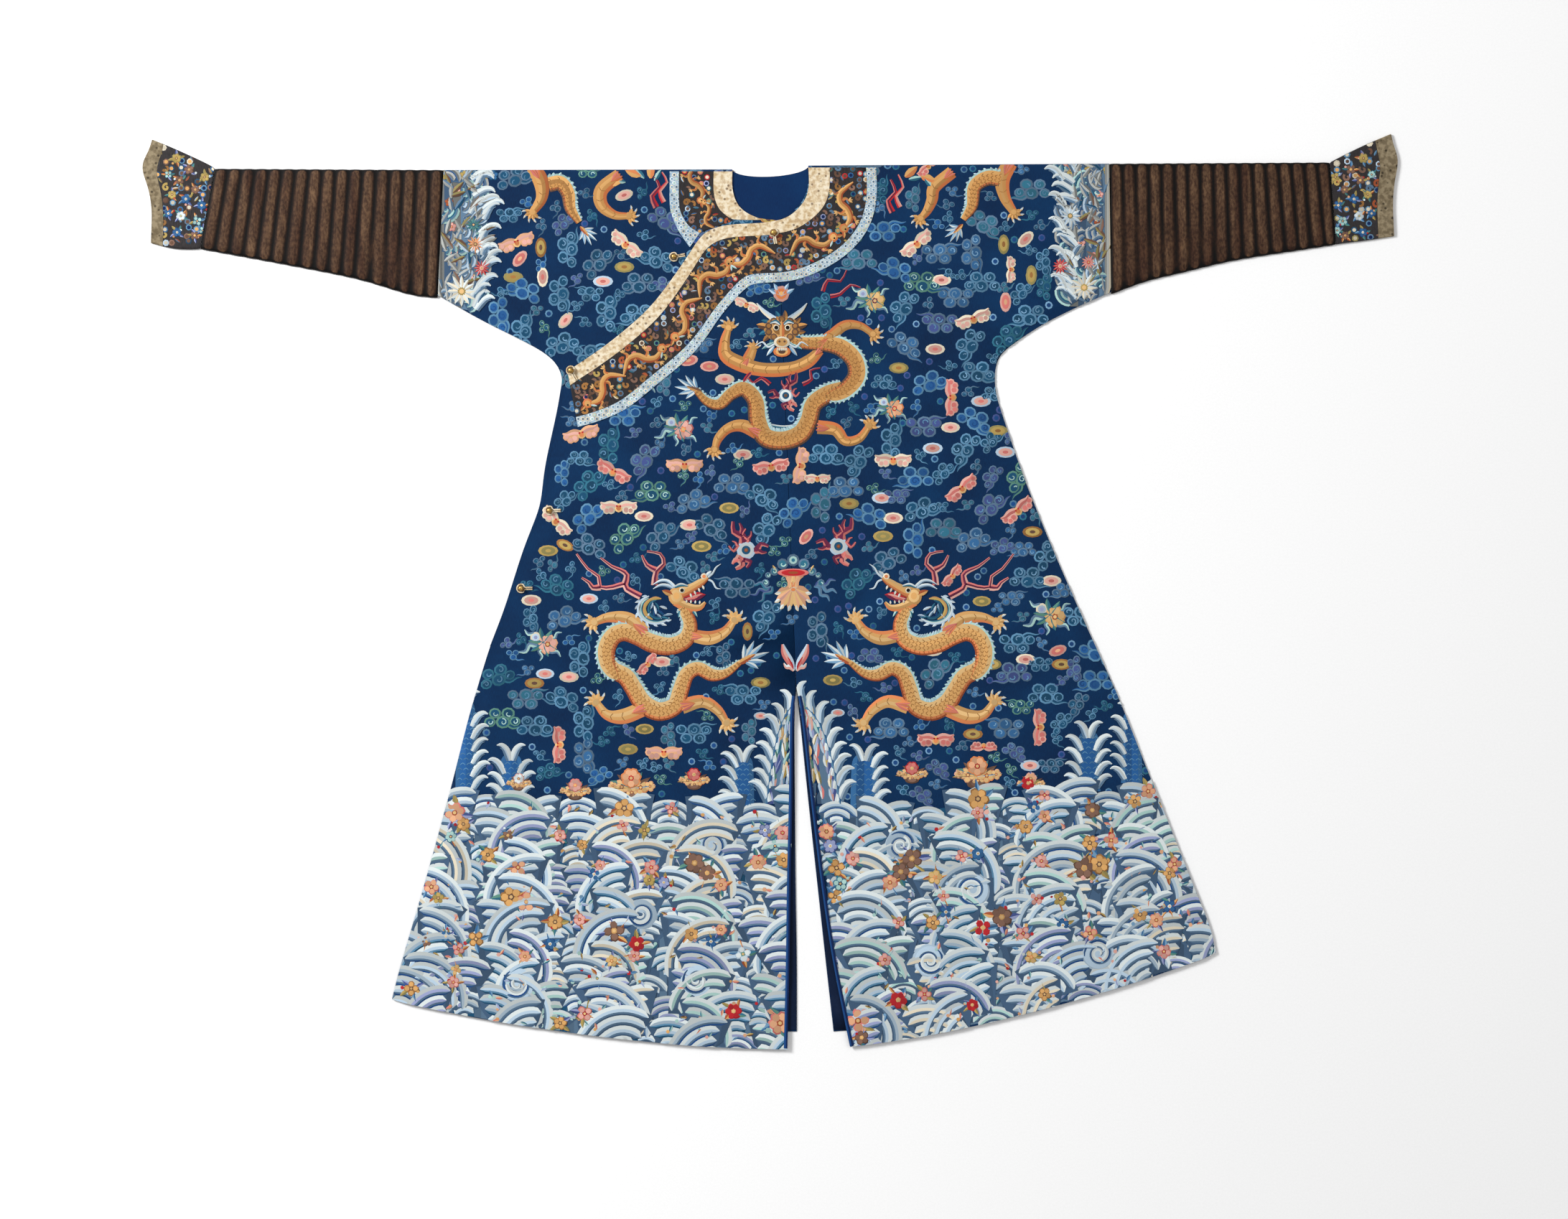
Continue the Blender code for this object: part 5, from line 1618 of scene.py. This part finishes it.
def slit_mountain(s, hand, foam_line, edge_line):
    """Bright scrolls behind a blue line, in foam, on one side of a slit."""
    ys = np.linspace(-338, -178, 9)[:, None]
    shares = np.linspace(0, 1, 4)[None, :]
    xs = across_slit(foam_line, ys) * (1 - shares) + across_slit(edge_line, ys) * shares
    s.patch(xs, ys + 0 * xs, 0.05 + 0 * xs, ("violet", "slate", "shadow"))
    for step, y in enumerate(np.arange(-334, -186, 3.6)):
        x0, x1 = across_slit(foam_line, y), across_slit(edge_line, y)
        x = x0 + (x1 - x0) * (0.3, 0.62, 0.85)[step % 3]
        turn = 90 - hand * s.random.uniform(-8, 24)
        length, threads = s.random.uniform(18, 26), s.random.choice(SWIRLS)
        s.leaf(x, y, length, 8.5, turn, threads, 0.1 + 0.004 * step, bend=s.random.uniform(-4, 4))
    s.ridge([(x + 4 * hand, y, 2.6) for x, y in foam_line[:-1]], 5, ("mist", "mid"), -0.1, 0.5, 0.5)
    s.ridge([(x - 3 * hand, y, 3) for x, y in edge_line], 6, ("navy", "deep"), 0, 0.4, 2.2)
    foam(s, foam_line, hand, 21, 29, 36)


def hem_waves(s, top, hem, low, high):
    """Rows of wave fans from a top line to a hem, with buds and leaves between them."""
    shares = np.linspace(0, 1, 8)[:, None]
    xs = np.linspace(low, high, 60)[None, :]
    ys = (1 - shares) * (level(top, xs) - 12) + shares * level(hem, xs)
    s.patch(xs + 0 * ys, ys, 0.1 + 0 * ys, [s.random.choice(WAVE_GROUNDS) for _ in range(59)])
    for row in range(WAVE_ROWS + 1):
        share = (row + 0.1) / WAVE_ROWS
        xs = np.arange(low + FAN_STEP // 2 * (row % 2), high + 40, FAN_STEP)
        for k, x in enumerate(xs):
            y = (1 - share) * (level(top, x) - 52) + share * (level(hem, x) - 22)
            slope = level(hem, x + 20) - level(hem, x - 20)
            turn = 90 + share * math.degrees(math.atan2(slope, 40))
            parted = (k + row) % 2 == 0
            if parted:
                lean = 90 + s.random.uniform(-12, 12)
                wave_fan(s, x + FAN_STEP // 2, y + 10, s.random.uniform(42, 54), lean, 110, -0.2, 12)
            turn += (42 if parted else -42) + s.random.uniform(-14, 14)
            radius, spread = s.random.uniform(62, 84), s.random.uniform(102, 132)
            wave_fan(s, x, y, radius, turn, spread, 0.2 + 0.36 * (k % 2))
    for _ in range(BUD_COUNT):
        share = s.random.random()
        x = s.random.uniform(low, high)
        y = (1 - share) * (level(top, x) - 10) + share * level(hem, x)
        dot(s, x, y, s.random.uniform(2.2, 3.6), s.random.choice(BUDS), 1.6)
        s.leaf(x + 3, y, 11, 5, s.random.uniform(0, 360), s.random.choice(BUD_LEAVES), 1.5)


def in_waves(pieces):
    """Spirals, rocks, treasures and bouquets, sewn on the waves of each side."""
    for side, x, y, radius in SPIRALS:
        spiral(pieces[side], x, y, radius, pieces[side].random.uniform(0, 360), side == "right")
    for side, x, y, width, height, foamy in ROCKS:
        rock(pieces[side], x, y, width, height, foamy=foamy)
    for x, y, size, key in TREASURES:
        treasure(pieces["left" if x < SLIT_X else "right"], x, y, size, key)
    for x, y, size, colours in POTS:
        bouquet(pieces["left" if x < SLIT_X else "right"], x, y, size, colours)


# The wave bands at the ends of the sleeves: side, hand, the seam's x, the inner x, and the range of y
BANDS = (("right", -1, -524, -458, 468, 668), ("left", 1, 534, 470, 474, 676))
# x, y, size and colours of the petals, the leaves between them and the core
BAND_FLOWERS = (
    (-491, 478, 44, ("white", "cream", "ochre")), (-469, 553, 22, ("orange", "peach", "brown")),
    (-472, 584, 20, ("teal", "green", "navy")), (-459, 515, 22, ("red", "rose", "pink")),
    (500, 484, 40, ("white", "cream", "ochre")), (478, 598, 30, ("white", "pale", "olive")),
    (462, 518, 22, ("red", "rose", "pink")), (507, 524, 20, ("rose", "pink", "red")),
)
BAND_LEAVES = (
    ("ash", "stone"), ("ash", "slate"), ("olive", "brown"), ("stone", "umber"), ("pale", "stone"),
    ("ash", "stone"), ("slate", "dusk"),
)
BAND_WAVES = (
    ("ash", "stone", "slate", "deep"), ("pale", "slate", "stone", "shadow"),
    ("mint", "slate", "teal", "dusk"), ("ash", "slate", "shadow", "deep"),
)
BAND_FAN_SHARE = 0.92


def wave_band(s, hand, seam, inner, low, high):
    """Waves, leaves and flowers beside a sleeve's seam, with foam towards the middle."""
    shares = np.linspace(0, 1, 6)[None, :]
    ys = np.linspace(low - 20, high + 8, 12)[:, None]
    xs = seam + hand * 8 + (inner - seam) * shares
    grounds = [s.random.choice(("slate", "shadow", "stone")) for _ in range(5)]
    s.patch(xs + 0 * ys, ys + 0 * xs, 0.1 + 0 * ys + 0 * xs, grounds)
    for k, y in enumerate(np.arange(low - 12, high + 16, 22)):
        for j, share in enumerate((0.12, 0.5, 0.85)):
            x = seam + (inner - seam) * share + s.random.uniform(-4, 4)
            turn = (180 if hand > 0 else 0) + s.random.uniform(-60, 60)
            if s.random.random() < BAND_FAN_SHARE:
                base = 0.25 * ((k + j) % 2) + 0.2 * (2 - j)
                wave_fan(s, x, y + 8 * j, s.random.uniform(20, 27), turn, 120, base, 9, BAND_WAVES)
        for j in range(2):
            lean = 90 + hand * s.random.uniform(15, 75)
            px, py = inner - hand * s.random.uniform(-16, 10), y + s.random.uniform(-5, 20)
            curl(s, px, py, lean, 25, hand > 0, 0.9)
        for j in range(6):
            px = seam + (inner - seam) * s.random.random()
            turn = 90 + hand * s.random.uniform(-60, 75)
            s.leaf(px, y + s.random.uniform(0, 22), 25, 8, turn, s.random.choice(BAND_LEAVES), 0.95)
        px = seam + (inner - seam) * s.random.random()
        py = y + s.random.uniform(0, 20)
        flower(s, px, py, 8, s.random.choice((("brown", "rust", "gold"), ("rose", "pink", "red"))))
    edge = [(seam + hand * 4, y, 5) for y in (low - 20, (low + high) / 2, high + 4)]
    s.ribbon(curve(edge, 8), ("stone", "ash", "cream")[::hand], base=0.9)
    for x in np.arange(min(seam, inner) + 8, max(seam, inner) + 20, 15):
        flower(s, x, high - 5, 9, (("olive", "ochre", "brown"), ("dusk", "mid", "white"))[int(x) % 2])
    for x, y, size, colours in BAND_FLOWERS:
        if x * hand > 0:
            with s.placed(base=1.2):
                for turn in range(0, 360, 30):
                    s.leaf(x, y, size * s.random.uniform(0.5, 0.7), size * 0.17, turn, colours[:2])
                s.rings(x, y, (size * 0.16, size * 0.09), (colours[2],), "light_gold", (0, 0.4), 0.3, 8)


# ---------------------------------------------------------------- the front and the back

BACK_EDGE_LEFT = ((40, -166), (39, -201), (40, -327), (41, -465), (43, -590), (43, -701))
BACK_EDGE_RIGHT = ((44, -166), (47, -201), (60, -327), (75, -465), (88, -585), (101, -701))
BACK_HEM_LEFT = (
    (-620, -640), (-602, -644), (-500, -662), (-400, -676), (-300, -686), (-200, -694), (-100, -699),
    (44, -699),
)
BACK_HEM_RIGHT = ((90, -699), (128, -697), (250, -684), (400, -656), (550, -618), (720, -570))
# The halves of a skirt: side, sheet, the mountain's foam line and edge, the waves' top, hem and range of x
FRONT_SKIRTS = (
    ("left", "front_overlap", SLIT_FOAM_LEFT, SLIT_EDGE_LEFT, WAVE_TOP_LEFT, HEM_LEFT, -630, 40),
    ("right", "body_left", SLIT_FOAM_RIGHT, SLIT_EDGE_RIGHT, WAVE_TOP_RIGHT, HEM_RIGHT, 70, 726),
)
BACK_SKIRTS = (
    ("left", "body_right", SLIT_FOAM_LEFT, BACK_EDGE_LEFT, WAVE_TOP_LEFT, BACK_HEM_LEFT, -610, 44),
    ("right", "body_left", SLIT_FOAM_RIGHT, BACK_EDGE_RIGHT, WAVE_TOP_RIGHT, BACK_HEM_RIGHT, 60, 714),
)
TRIMS = (
    "collar_overlap", "collar_under", "edging_overlap", "edging_under", "border_overlap",
    "border_under",
)
BACK_TRIMS = ("collar_back", "edging_back", "border_back")
# Seeds for the dragons, the emblems, two halves of waves, two sleeve bands and the clouds
FRONT_SEEDS = (11, 12, 21, 22, 30, 32, 13)
BACK_SEEDS = (61, 62, 63, 64, 65, 66, 67)
BACK_DROP = 8


def drawn_side(names, panel, least, skirts, trims, seeds, drop=0, mirror=False):
    """One side's dragons, emblems, clouds, sleeve bands and waves, ready to sew.

    names are how the pieces' names start, and how the bands' do. The seated dragon is moved down by
    drop, and mirror is whether the small emblems are mirrored.
    """
    start, band_start = names
    seeds = iter(seeds)
    dragons = Embroidery(start + "dragons", panel, next(seeds))
    striding_dragon(dragons)
    striding_dragon(dragons, MIRROR_X, True)
    seated_dragon(dragons, -drop)
    shoulder_dragons(dragons)
    emblems = Embroidery(start + "emblems", panel, next(seeds))
    centre_emblem(emblems)
    butterfly(emblems, 40, -122)
    with emblems.placed(MIRROR_X if mirror else 0, mirror=mirror):
        for x, y, size, colours in EMBLEMS:
            emblem(emblems, x, y, size, colours)
        for x, y, turn, kind in OVALS:
            oval(emblems, x, y, turn, 0.6 if kind == "s" else 0.85, kind == "g")
        for x, y, turn in BATS:
            bat(emblems, x, y, turn)
    waves = {}
    for hand, sheet, foam_line, edge_line, *lines in skirts:
        skirt = Panel((sheet,), panel.up, least, panel)
        waves[hand] = Embroidery(start + "waves_" + hand, skirt, next(seeds))
        slit_mountain(waves[hand], 1 if hand == "left" else -1, foam_line, edge_line)
        hem_waves(waves[hand], *lines)
    in_waves(waves)
    bands = []
    for hand, *lines in BANDS:
        bands.append(Embroidery(band_start + hand, panel, next(seeds)))
        wave_band(bands[-1], *lines)
    clouds = Embroidery(start + "clouds", panel, next(seeds))
    ground = Ground([dragons, emblems, *waves.values(), *bands])
    scatter(clouds, panel, ground, Panel(trims, panel.up, TOP_LEAST, panel))
    return (dragons, emblems, clouds, *bands), waves


names = ("front_", "sleeve_waves_")
works, waves = drawn_side(names, front, TOP_LEAST, FRONT_SKIRTS, TRIMS, FRONT_SEEDS)
sew_on("front_overlap", waves["left"])
sew_on("body_left", waves["right"], *works)
names = ("back_", "back_sleeve_waves_")
works, waves = drawn_side(names, back, BACK_LEAST, BACK_SKIRTS, BACK_TRIMS, BACK_SEEDS, BACK_DROP, True)
sew_on("body_left", *works, waves["right"])
sew_on("body_right", waves["left"])

# ---------------------------------------------------------------- collar and cuffs

TRIM_GROUNDS = ("slate", "dark_gold", "umber", "rust", "brown", "dark_gold", "ochre", "umber")
TRIM_BRIGHTS = (
    "mid", "mist", "teal", "slate", "pale", "lilac", "rose", "red", "violet", "slate", "green", "cream",
)
CUFF_BRIGHTS = (
    "mist", "slate", "pale", "slate", "umber", "cream", "olive", "dusk", "mist", "brown", "mid",
)
# A trim's flowers keep this far from its dragons and treasures.
TRIM_GAP = 2.6
# Draws above this are leaves, and those below it scrolls or flowers.
LONE_LEAF = 0.85
# The overlap's collar from the shoulder down, and the steps along it where its dragons sit
COLLAR_LINE = (
    (124, 662), (117, 606), (97, 578), (63, 554), (16, 539), (-34, 536), (-59, 530), (-84, 511),
    (-106, 480), (-137, 436), (-167, 403), (-214, 363), (-257, 330), (-296, 306),
)
COLLAR_STEPS = (7, 23, 40, 58, 72, 86, 98)
# x, y, turn, size and whether they are mirrored, of the dragons on the other collars
UNDER_DRAGONS = ((-118, 648, -80, 0.9, False), (-100, 600, -70, 0.7, True))
BACK_DRAGONS = (
    (-116, 632, -60, 1.1, False), (-66, 600, -30, 1.1, False), (0, 588, 0, 1.1, False),
    (66, 600, 30, 1.1, True), (116, 632, 60, 1.1, True),
)
# The flowers of the left cuff, in the same way as the treasures. The right cuff mirrors them.
CUFF_TREASURES = (
    (900, 660, 15, "o"), (925, 672, 16, "b"), (945, 690, 16, "o"), (915, 640, 14, "b"),
    (940, 655, 15, "b"), (958, 664, 13, "t"), (905, 615, 15, "u"), (930, 625, 16, "u"),
    (952, 632, 14, "o"), (912, 590, 16, "t"), (938, 598, 15, "w"), (958, 602, 14, "u"),
    (916, 567, 14, "b"), (944, 572, 15, "u"), (903, 575, 13, "t"),
)
# The body of a collar's little dragon, from its head
SMALL_BODY = ((26, 6, 3), (14, 10, 4.4), (2, 4, 4.8), (-6, -6, 4.6), (-18, -8, 4), (-28, 0, 3), (-36, 8, 1))


def small_dragon(s, x, y, turn, size=1.0, mirror=False):
    """A little gold dragon for the collar."""
    with s.placed(x, y, turn, size, mirror, 0.15):
        body = curve(SMALL_BODY, 4)
        s.ribbon(body, ("gold", "amber", "rust"), (-1, -0.3, 0.4, 1), (-0.1, 0.5, 0.5, -0.1), 0.2)
        for px, py, heading in ((12, 8, 70), (4, 2, -60), (-8, -6, 110), (-20, -8, -80)):
            with s.placed(px, py, heading):
                s.ridge(((0, 0, 2.6), (7, 2, 2), (11, -2, 1)), 3, ("amber", "copper"), -0.1, 0.5)
                for claw in (-40, 0, 40):
                    s.leaf(11, -2, 6, 2.6, claw, ("light_gold", "gold"), 0.3)
        s.rings(29, 3, (7, 4.4), ("copper",), "gold", (-0.1, 0.6), 0.4, 8)
        s.leaf(33, 3, 10, 5, 10, ("gold", "rust"), 0.5)
        s.leaf(27, 7, 10, 3, 130, ("white", "mint"), 0.5)
        dot(s, 30, 5, 1.4, "black", 1.2)


def dense_trim(s, gold=0.42, pitch=11.5, brights=TRIM_BRIGHTS):
    """Scrolls, flowers and leaves all over a narrow panel. gold is the share of scrolls."""
    low, high = s.panel.low, s.panel.high
    ground = Ground([s]) if s.points else None
    for y in np.arange(low[1], high[1] + pitch, pitch * 0.86):
        for x in np.arange(low[0], high[0] + pitch, pitch):
            px = x + s.random.uniform(-2.5, 2.5)
            py = y + s.random.uniform(-2.5, 2.5)
            if not s.panel.holds(px, py):
                continue
            if ground and ground.gap(px, py) < TRIM_GAP:
                continue
            kind = s.random.random()
            if kind < gold:
                swirl(s, px, py, 0.5 * pitch, 1.25, 1.9, (s.random.choice(TRIM_GROUNDS),), 0.1)
            elif kind < LONE_LEAF:
                core = s.random.choice(("gold", "navy", "cream", "brown"))
                radii, edge = (0.45 * pitch, 0.25 * pitch), s.random.choice(brights)
                s.rings(px, py, radii, (edge,), core, (-0.1, 0.35), sides=7)
            else:
                threads = (s.random.choice(brights), s.random.choice(TRIM_GROUNDS))
                s.leaf(px - 3, py, 10, 4.8, s.random.uniform(0, 180), threads)


def along_collar():
    """Dragons along the overlap's collar, each turned its way."""
    line = curve([(x, y, 1) for x, y in COLLAR_LINE], 8)
    for k, at in enumerate(COLLAR_STEPS):
        turn = heading_of(line[at + 1] - line[at]) + (-1) ** k * 8
        yield line[at][0], line[at][1], turn, 1.15, k % 2 == 1


for name, sheet, up, seed, dragons in (
    ("collar_overlap_embroidery", "collar_overlap", 1, 41, along_collar()),
    ("collar_under_embroidery", "collar_under", 1, 42, UNDER_DRAGONS),
    ("back_collar_embroidery", "collar_back", -1, 68, BACK_DRAGONS),
):
    s = Embroidery(name, Panel((sheet,), up), seed)
    for dragon in dragons:
        small_dragon(s, *dragon)
    dense_trim(s)
    sew_on(sheet, s)


# A scallop's radius, and how far apart rows and scallops are
SCALLOP = 3.7
SCALLOP_ROW = 6.4
SCALLOP_PITCH = 7.4


def scallops(s):
    """Pale knots all over a panel, every other row half a step along."""
    for y in np.arange(s.panel.low[1], s.panel.high[1], SCALLOP_ROW):
        for k, x in enumerate(np.arange(s.panel.low[0], s.panel.high[0], SCALLOP_PITCH)):
            spot = (x + SCALLOP * (round(y / SCALLOP_ROW) % 2), y)
            if s.panel.holds(*spot):
                edge = s.random.choice(("white", "white", "cream"))
                core = s.random.choice(("slate", "sky", "mint"))
                s.rings(*spot, (SCALLOP, 1.8), (edge,), core, (-0.1, 0.3), 0.02 * (k % 3), 7)


for name, sheet, up, seed in (
    ("border_overlap_scallops", "border_overlap", 1, 45),
    ("border_under_scallops", "border_under", 1, 45),
    ("back_border_scallops", "border_back", -1, 69),
):
    s = Embroidery(name, Panel((sheet,), up), seed)
    scallops(s)
    sew_on(sheet, s)
for sheet, hand, seed, back_seed in (("cuff_left", 1, 52, 70), ("cuff_right", -1, 50, 71)):
    top = Embroidery(f"{sheet}_embroidery", Panel((sheet,)), seed)
    for x, y, size, key in CUFF_TREASURES:
        treasure(top, hand * x, y, size, key, 0.2)
    below = Embroidery(f"back_{sheet}_embroidery", Panel((sheet,), -1, CUFF_LEAST), back_seed)
    for s in (top, below):
        dense_trim(s, 0.3, 12.5, CUFF_BRIGHTS)
        sew_on(sheet, s)

# ---------------------------------------------------------------- buttons

# name, and the direction of the loop's legs in degrees
BUTTONS = (("neck", -80), ("clavicle", 10), ("armpit", -60), ("side_upper", 0), ("side_lower", 0))
# Radii of a ball and of its cord, and how deep the ball is chased as a share of its radius
BALL = 4.9
CORD = 1.25
CHASING = 0.07
# A loop's radius round its ball, how far its legs reach, and how its cord is twisted and sided
LOOP_TURN = 6.6
LOOP_END = 18
LOOP_PITCH = 4
CORD_TWISTS = 26
CORD_SIDES = 8


def ball_button(name, centre):
    """A gilt ball with chased lobes."""
    shape = bmesh.new()
    bmesh.ops.create_uvsphere(shape, u_segments=32, v_segments=20, radius=BALL)
    for point in shape.verts:
        x, y, z = point.co
        up = math.asin(max(-1, min(1, z / BALL)))
        lobes = abs(math.sin(4 * math.atan2(y, x))) * math.cos(up) ** 2 * abs(math.cos(2 * up))
        point.co *= 1 - CHASING * lobes
    mesh = bpy.data.meshes.new(name)
    shape.to_mesh(mesh)
    shape.free()
    mesh.transform(Matrix.Translation(centre) @ Matrix.Scale(MM, 4))
    mesh.materials.append(GILT)
    mesh.shade_smooth()
    return link(bpy.data.objects.new(name, mesh))


def cord_loop(name, centre, low, heading):
    """A hairpin loop of twisted cord round a ball, from both of its ends."""
    path = [(LOOP_END - k * LOOP_PITCH, CORD + 0.3) for k in range(4)]
    path += [(LOOP_TURN * math.cos(a), LOOP_TURN * math.sin(a)) for a in np.radians(range(60, 301, 20))]
    path += [(LOOP_END - k * LOOP_PITCH, -CORD - 0.3) for k in (3, 2, 1, 0)]
    c, s = math.cos(math.radians(heading)), math.sin(math.radians(heading))
    line = curve([(u * c - v * s, u * s + v * c, CORD) for u, v in path], 4)
    along = np.gradient(line[:, :2], axis=0)
    along /= np.linalg.norm(along, axis=1)[:, None]
    points, faces = [], []
    for k, ((x, y, r), (ax, ay)) in enumerate(zip(line, along)):
        for j in range(CORD_SIDES):
            angle = 2 * math.pi * j / CORD_SIDES
            ply = r * (0.93 + 0.07 * math.cos(2 * angle + CORD_TWISTS * k / 8))
            out, up = ply * math.cos(angle), ply * math.sin(angle)
            points.append((x + ay * out, y - ax * out, low + CORD + up))
    for k in range(len(line) - 1):
        for j in range(CORD_SIDES):
            a, b = k * CORD_SIDES + j, k * CORD_SIDES + (j + 1) % CORD_SIDES
            faces.append((a, a + CORD_SIDES, b + CORD_SIDES, b))
    faces += [tuple(range(CORD_SIDES)), tuple(range(len(points) - 1, len(points) - CORD_SIDES - 1, -1))]
    places = np.array(points) + (centre[0] / MM, centre[1] / MM, 0)
    mesh = bpy.data.meshes.new(name)
    mesh.from_pydata((places * MM).tolist(), [], faces)
    mesh.materials.append(BROCADE)
    mesh.shade_smooth()
    return link(bpy.data.objects.new(name, mesh))


for name, heading in BUTTONS:
    corners = [Vector(c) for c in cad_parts["button_" + name].bound_box]
    centre = sum(corners, Vector()) / 8
    low = min(c[2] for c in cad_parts["loop_" + name].bound_box) / MM
    for kind, piece, slot in (
        ("button_", ball_button(name + "_ball", centre), "gilt"),
        ("loop_", cord_loop(name + "_cord", centre, low, heading), "gold_brocade"),
    ):
        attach(piece, "root")
        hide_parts(kind + name)

# ---------------------------------------------------------------- the stage

# Half the floor's width, in metres
FLOOR = 6
# Places of the lamps and the camera in metres, the key's size in metres and power in watts, and the
# fill's spread in degrees and strength
KEY_PLACE, KEY_SIZE, KEY_POWER = (-4.2, 2.7, 3.7), 1.8, 380
FILL_PLACE, FILL_SPREAD, FILL_STRENGTH = (2.0, 1.4, 5.0), 50, 0.5
SKY_STRENGTH = 0.4
CAMERA_PLACE, LENS, SENSOR = (0.0223, -0.0286, 5.90), 85, 36

floor_mesh = bpy.data.meshes.new("floor")
corners = [(-FLOOR, -FLOOR, 0), (FLOOR, -FLOOR, 0), (FLOOR, FLOOR, 0), (-FLOOR, FLOOR, 0)]
floor_mesh.from_pydata(corners, [], [(0, 1, 2, 3)])
floor = link(bpy.data.objects.new("floor", floor_mesh))
paper = Finish("white_paper", 0.9)
fibres = paper.noise(paper.stretched(), 300, 2)
paper.colour(paper.ramp(fibres, ((0.3, (250, 250, 250)), (0.7, (253, 253, 253)))))
floor_mesh.materials.append(paper.material)


def lamp(name, kind, place, strength):
    """A lamp that shines from its place to the origin."""
    data = bpy.data.lights.new(name, kind)
    data.energy = strength
    light = link(bpy.data.objects.new(name, data))
    light.location = place
    light.rotation_euler = (-light.location).to_track_quat("-Z", "Y").to_euler()
    return data


key = lamp("key", "AREA", KEY_PLACE, KEY_POWER)
key.shape = "SQUARE"
key.size = KEY_SIZE
lamp("fill", "SUN", FILL_PLACE, FILL_STRENGTH).angle = math.radians(FILL_SPREAD)
world = bpy.data.worlds.new("studio")
world.use_nodes = True
sky = world.node_tree.nodes["Background"].inputs
sky["Color"].default_value = (1, 1, 1, 1)
sky["Strength"].default_value = SKY_STRENGTH
bpy.context.scene.world = world
bpy.context.scene.view_settings.view_transform = "Standard"

lens = bpy.data.cameras.new("camera")
lens.lens = LENS
lens.sensor_width = SENSOR
camera = link(bpy.data.objects.new("camera", lens))
camera.location = CAMERA_PLACE
bpy.context.scene.camera = camera

for node, _, width, length, area in CLOTH:
    under, pieces = RESTS_ON.get(node, ()), sewn[node]
    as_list(under)
    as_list(pieces)
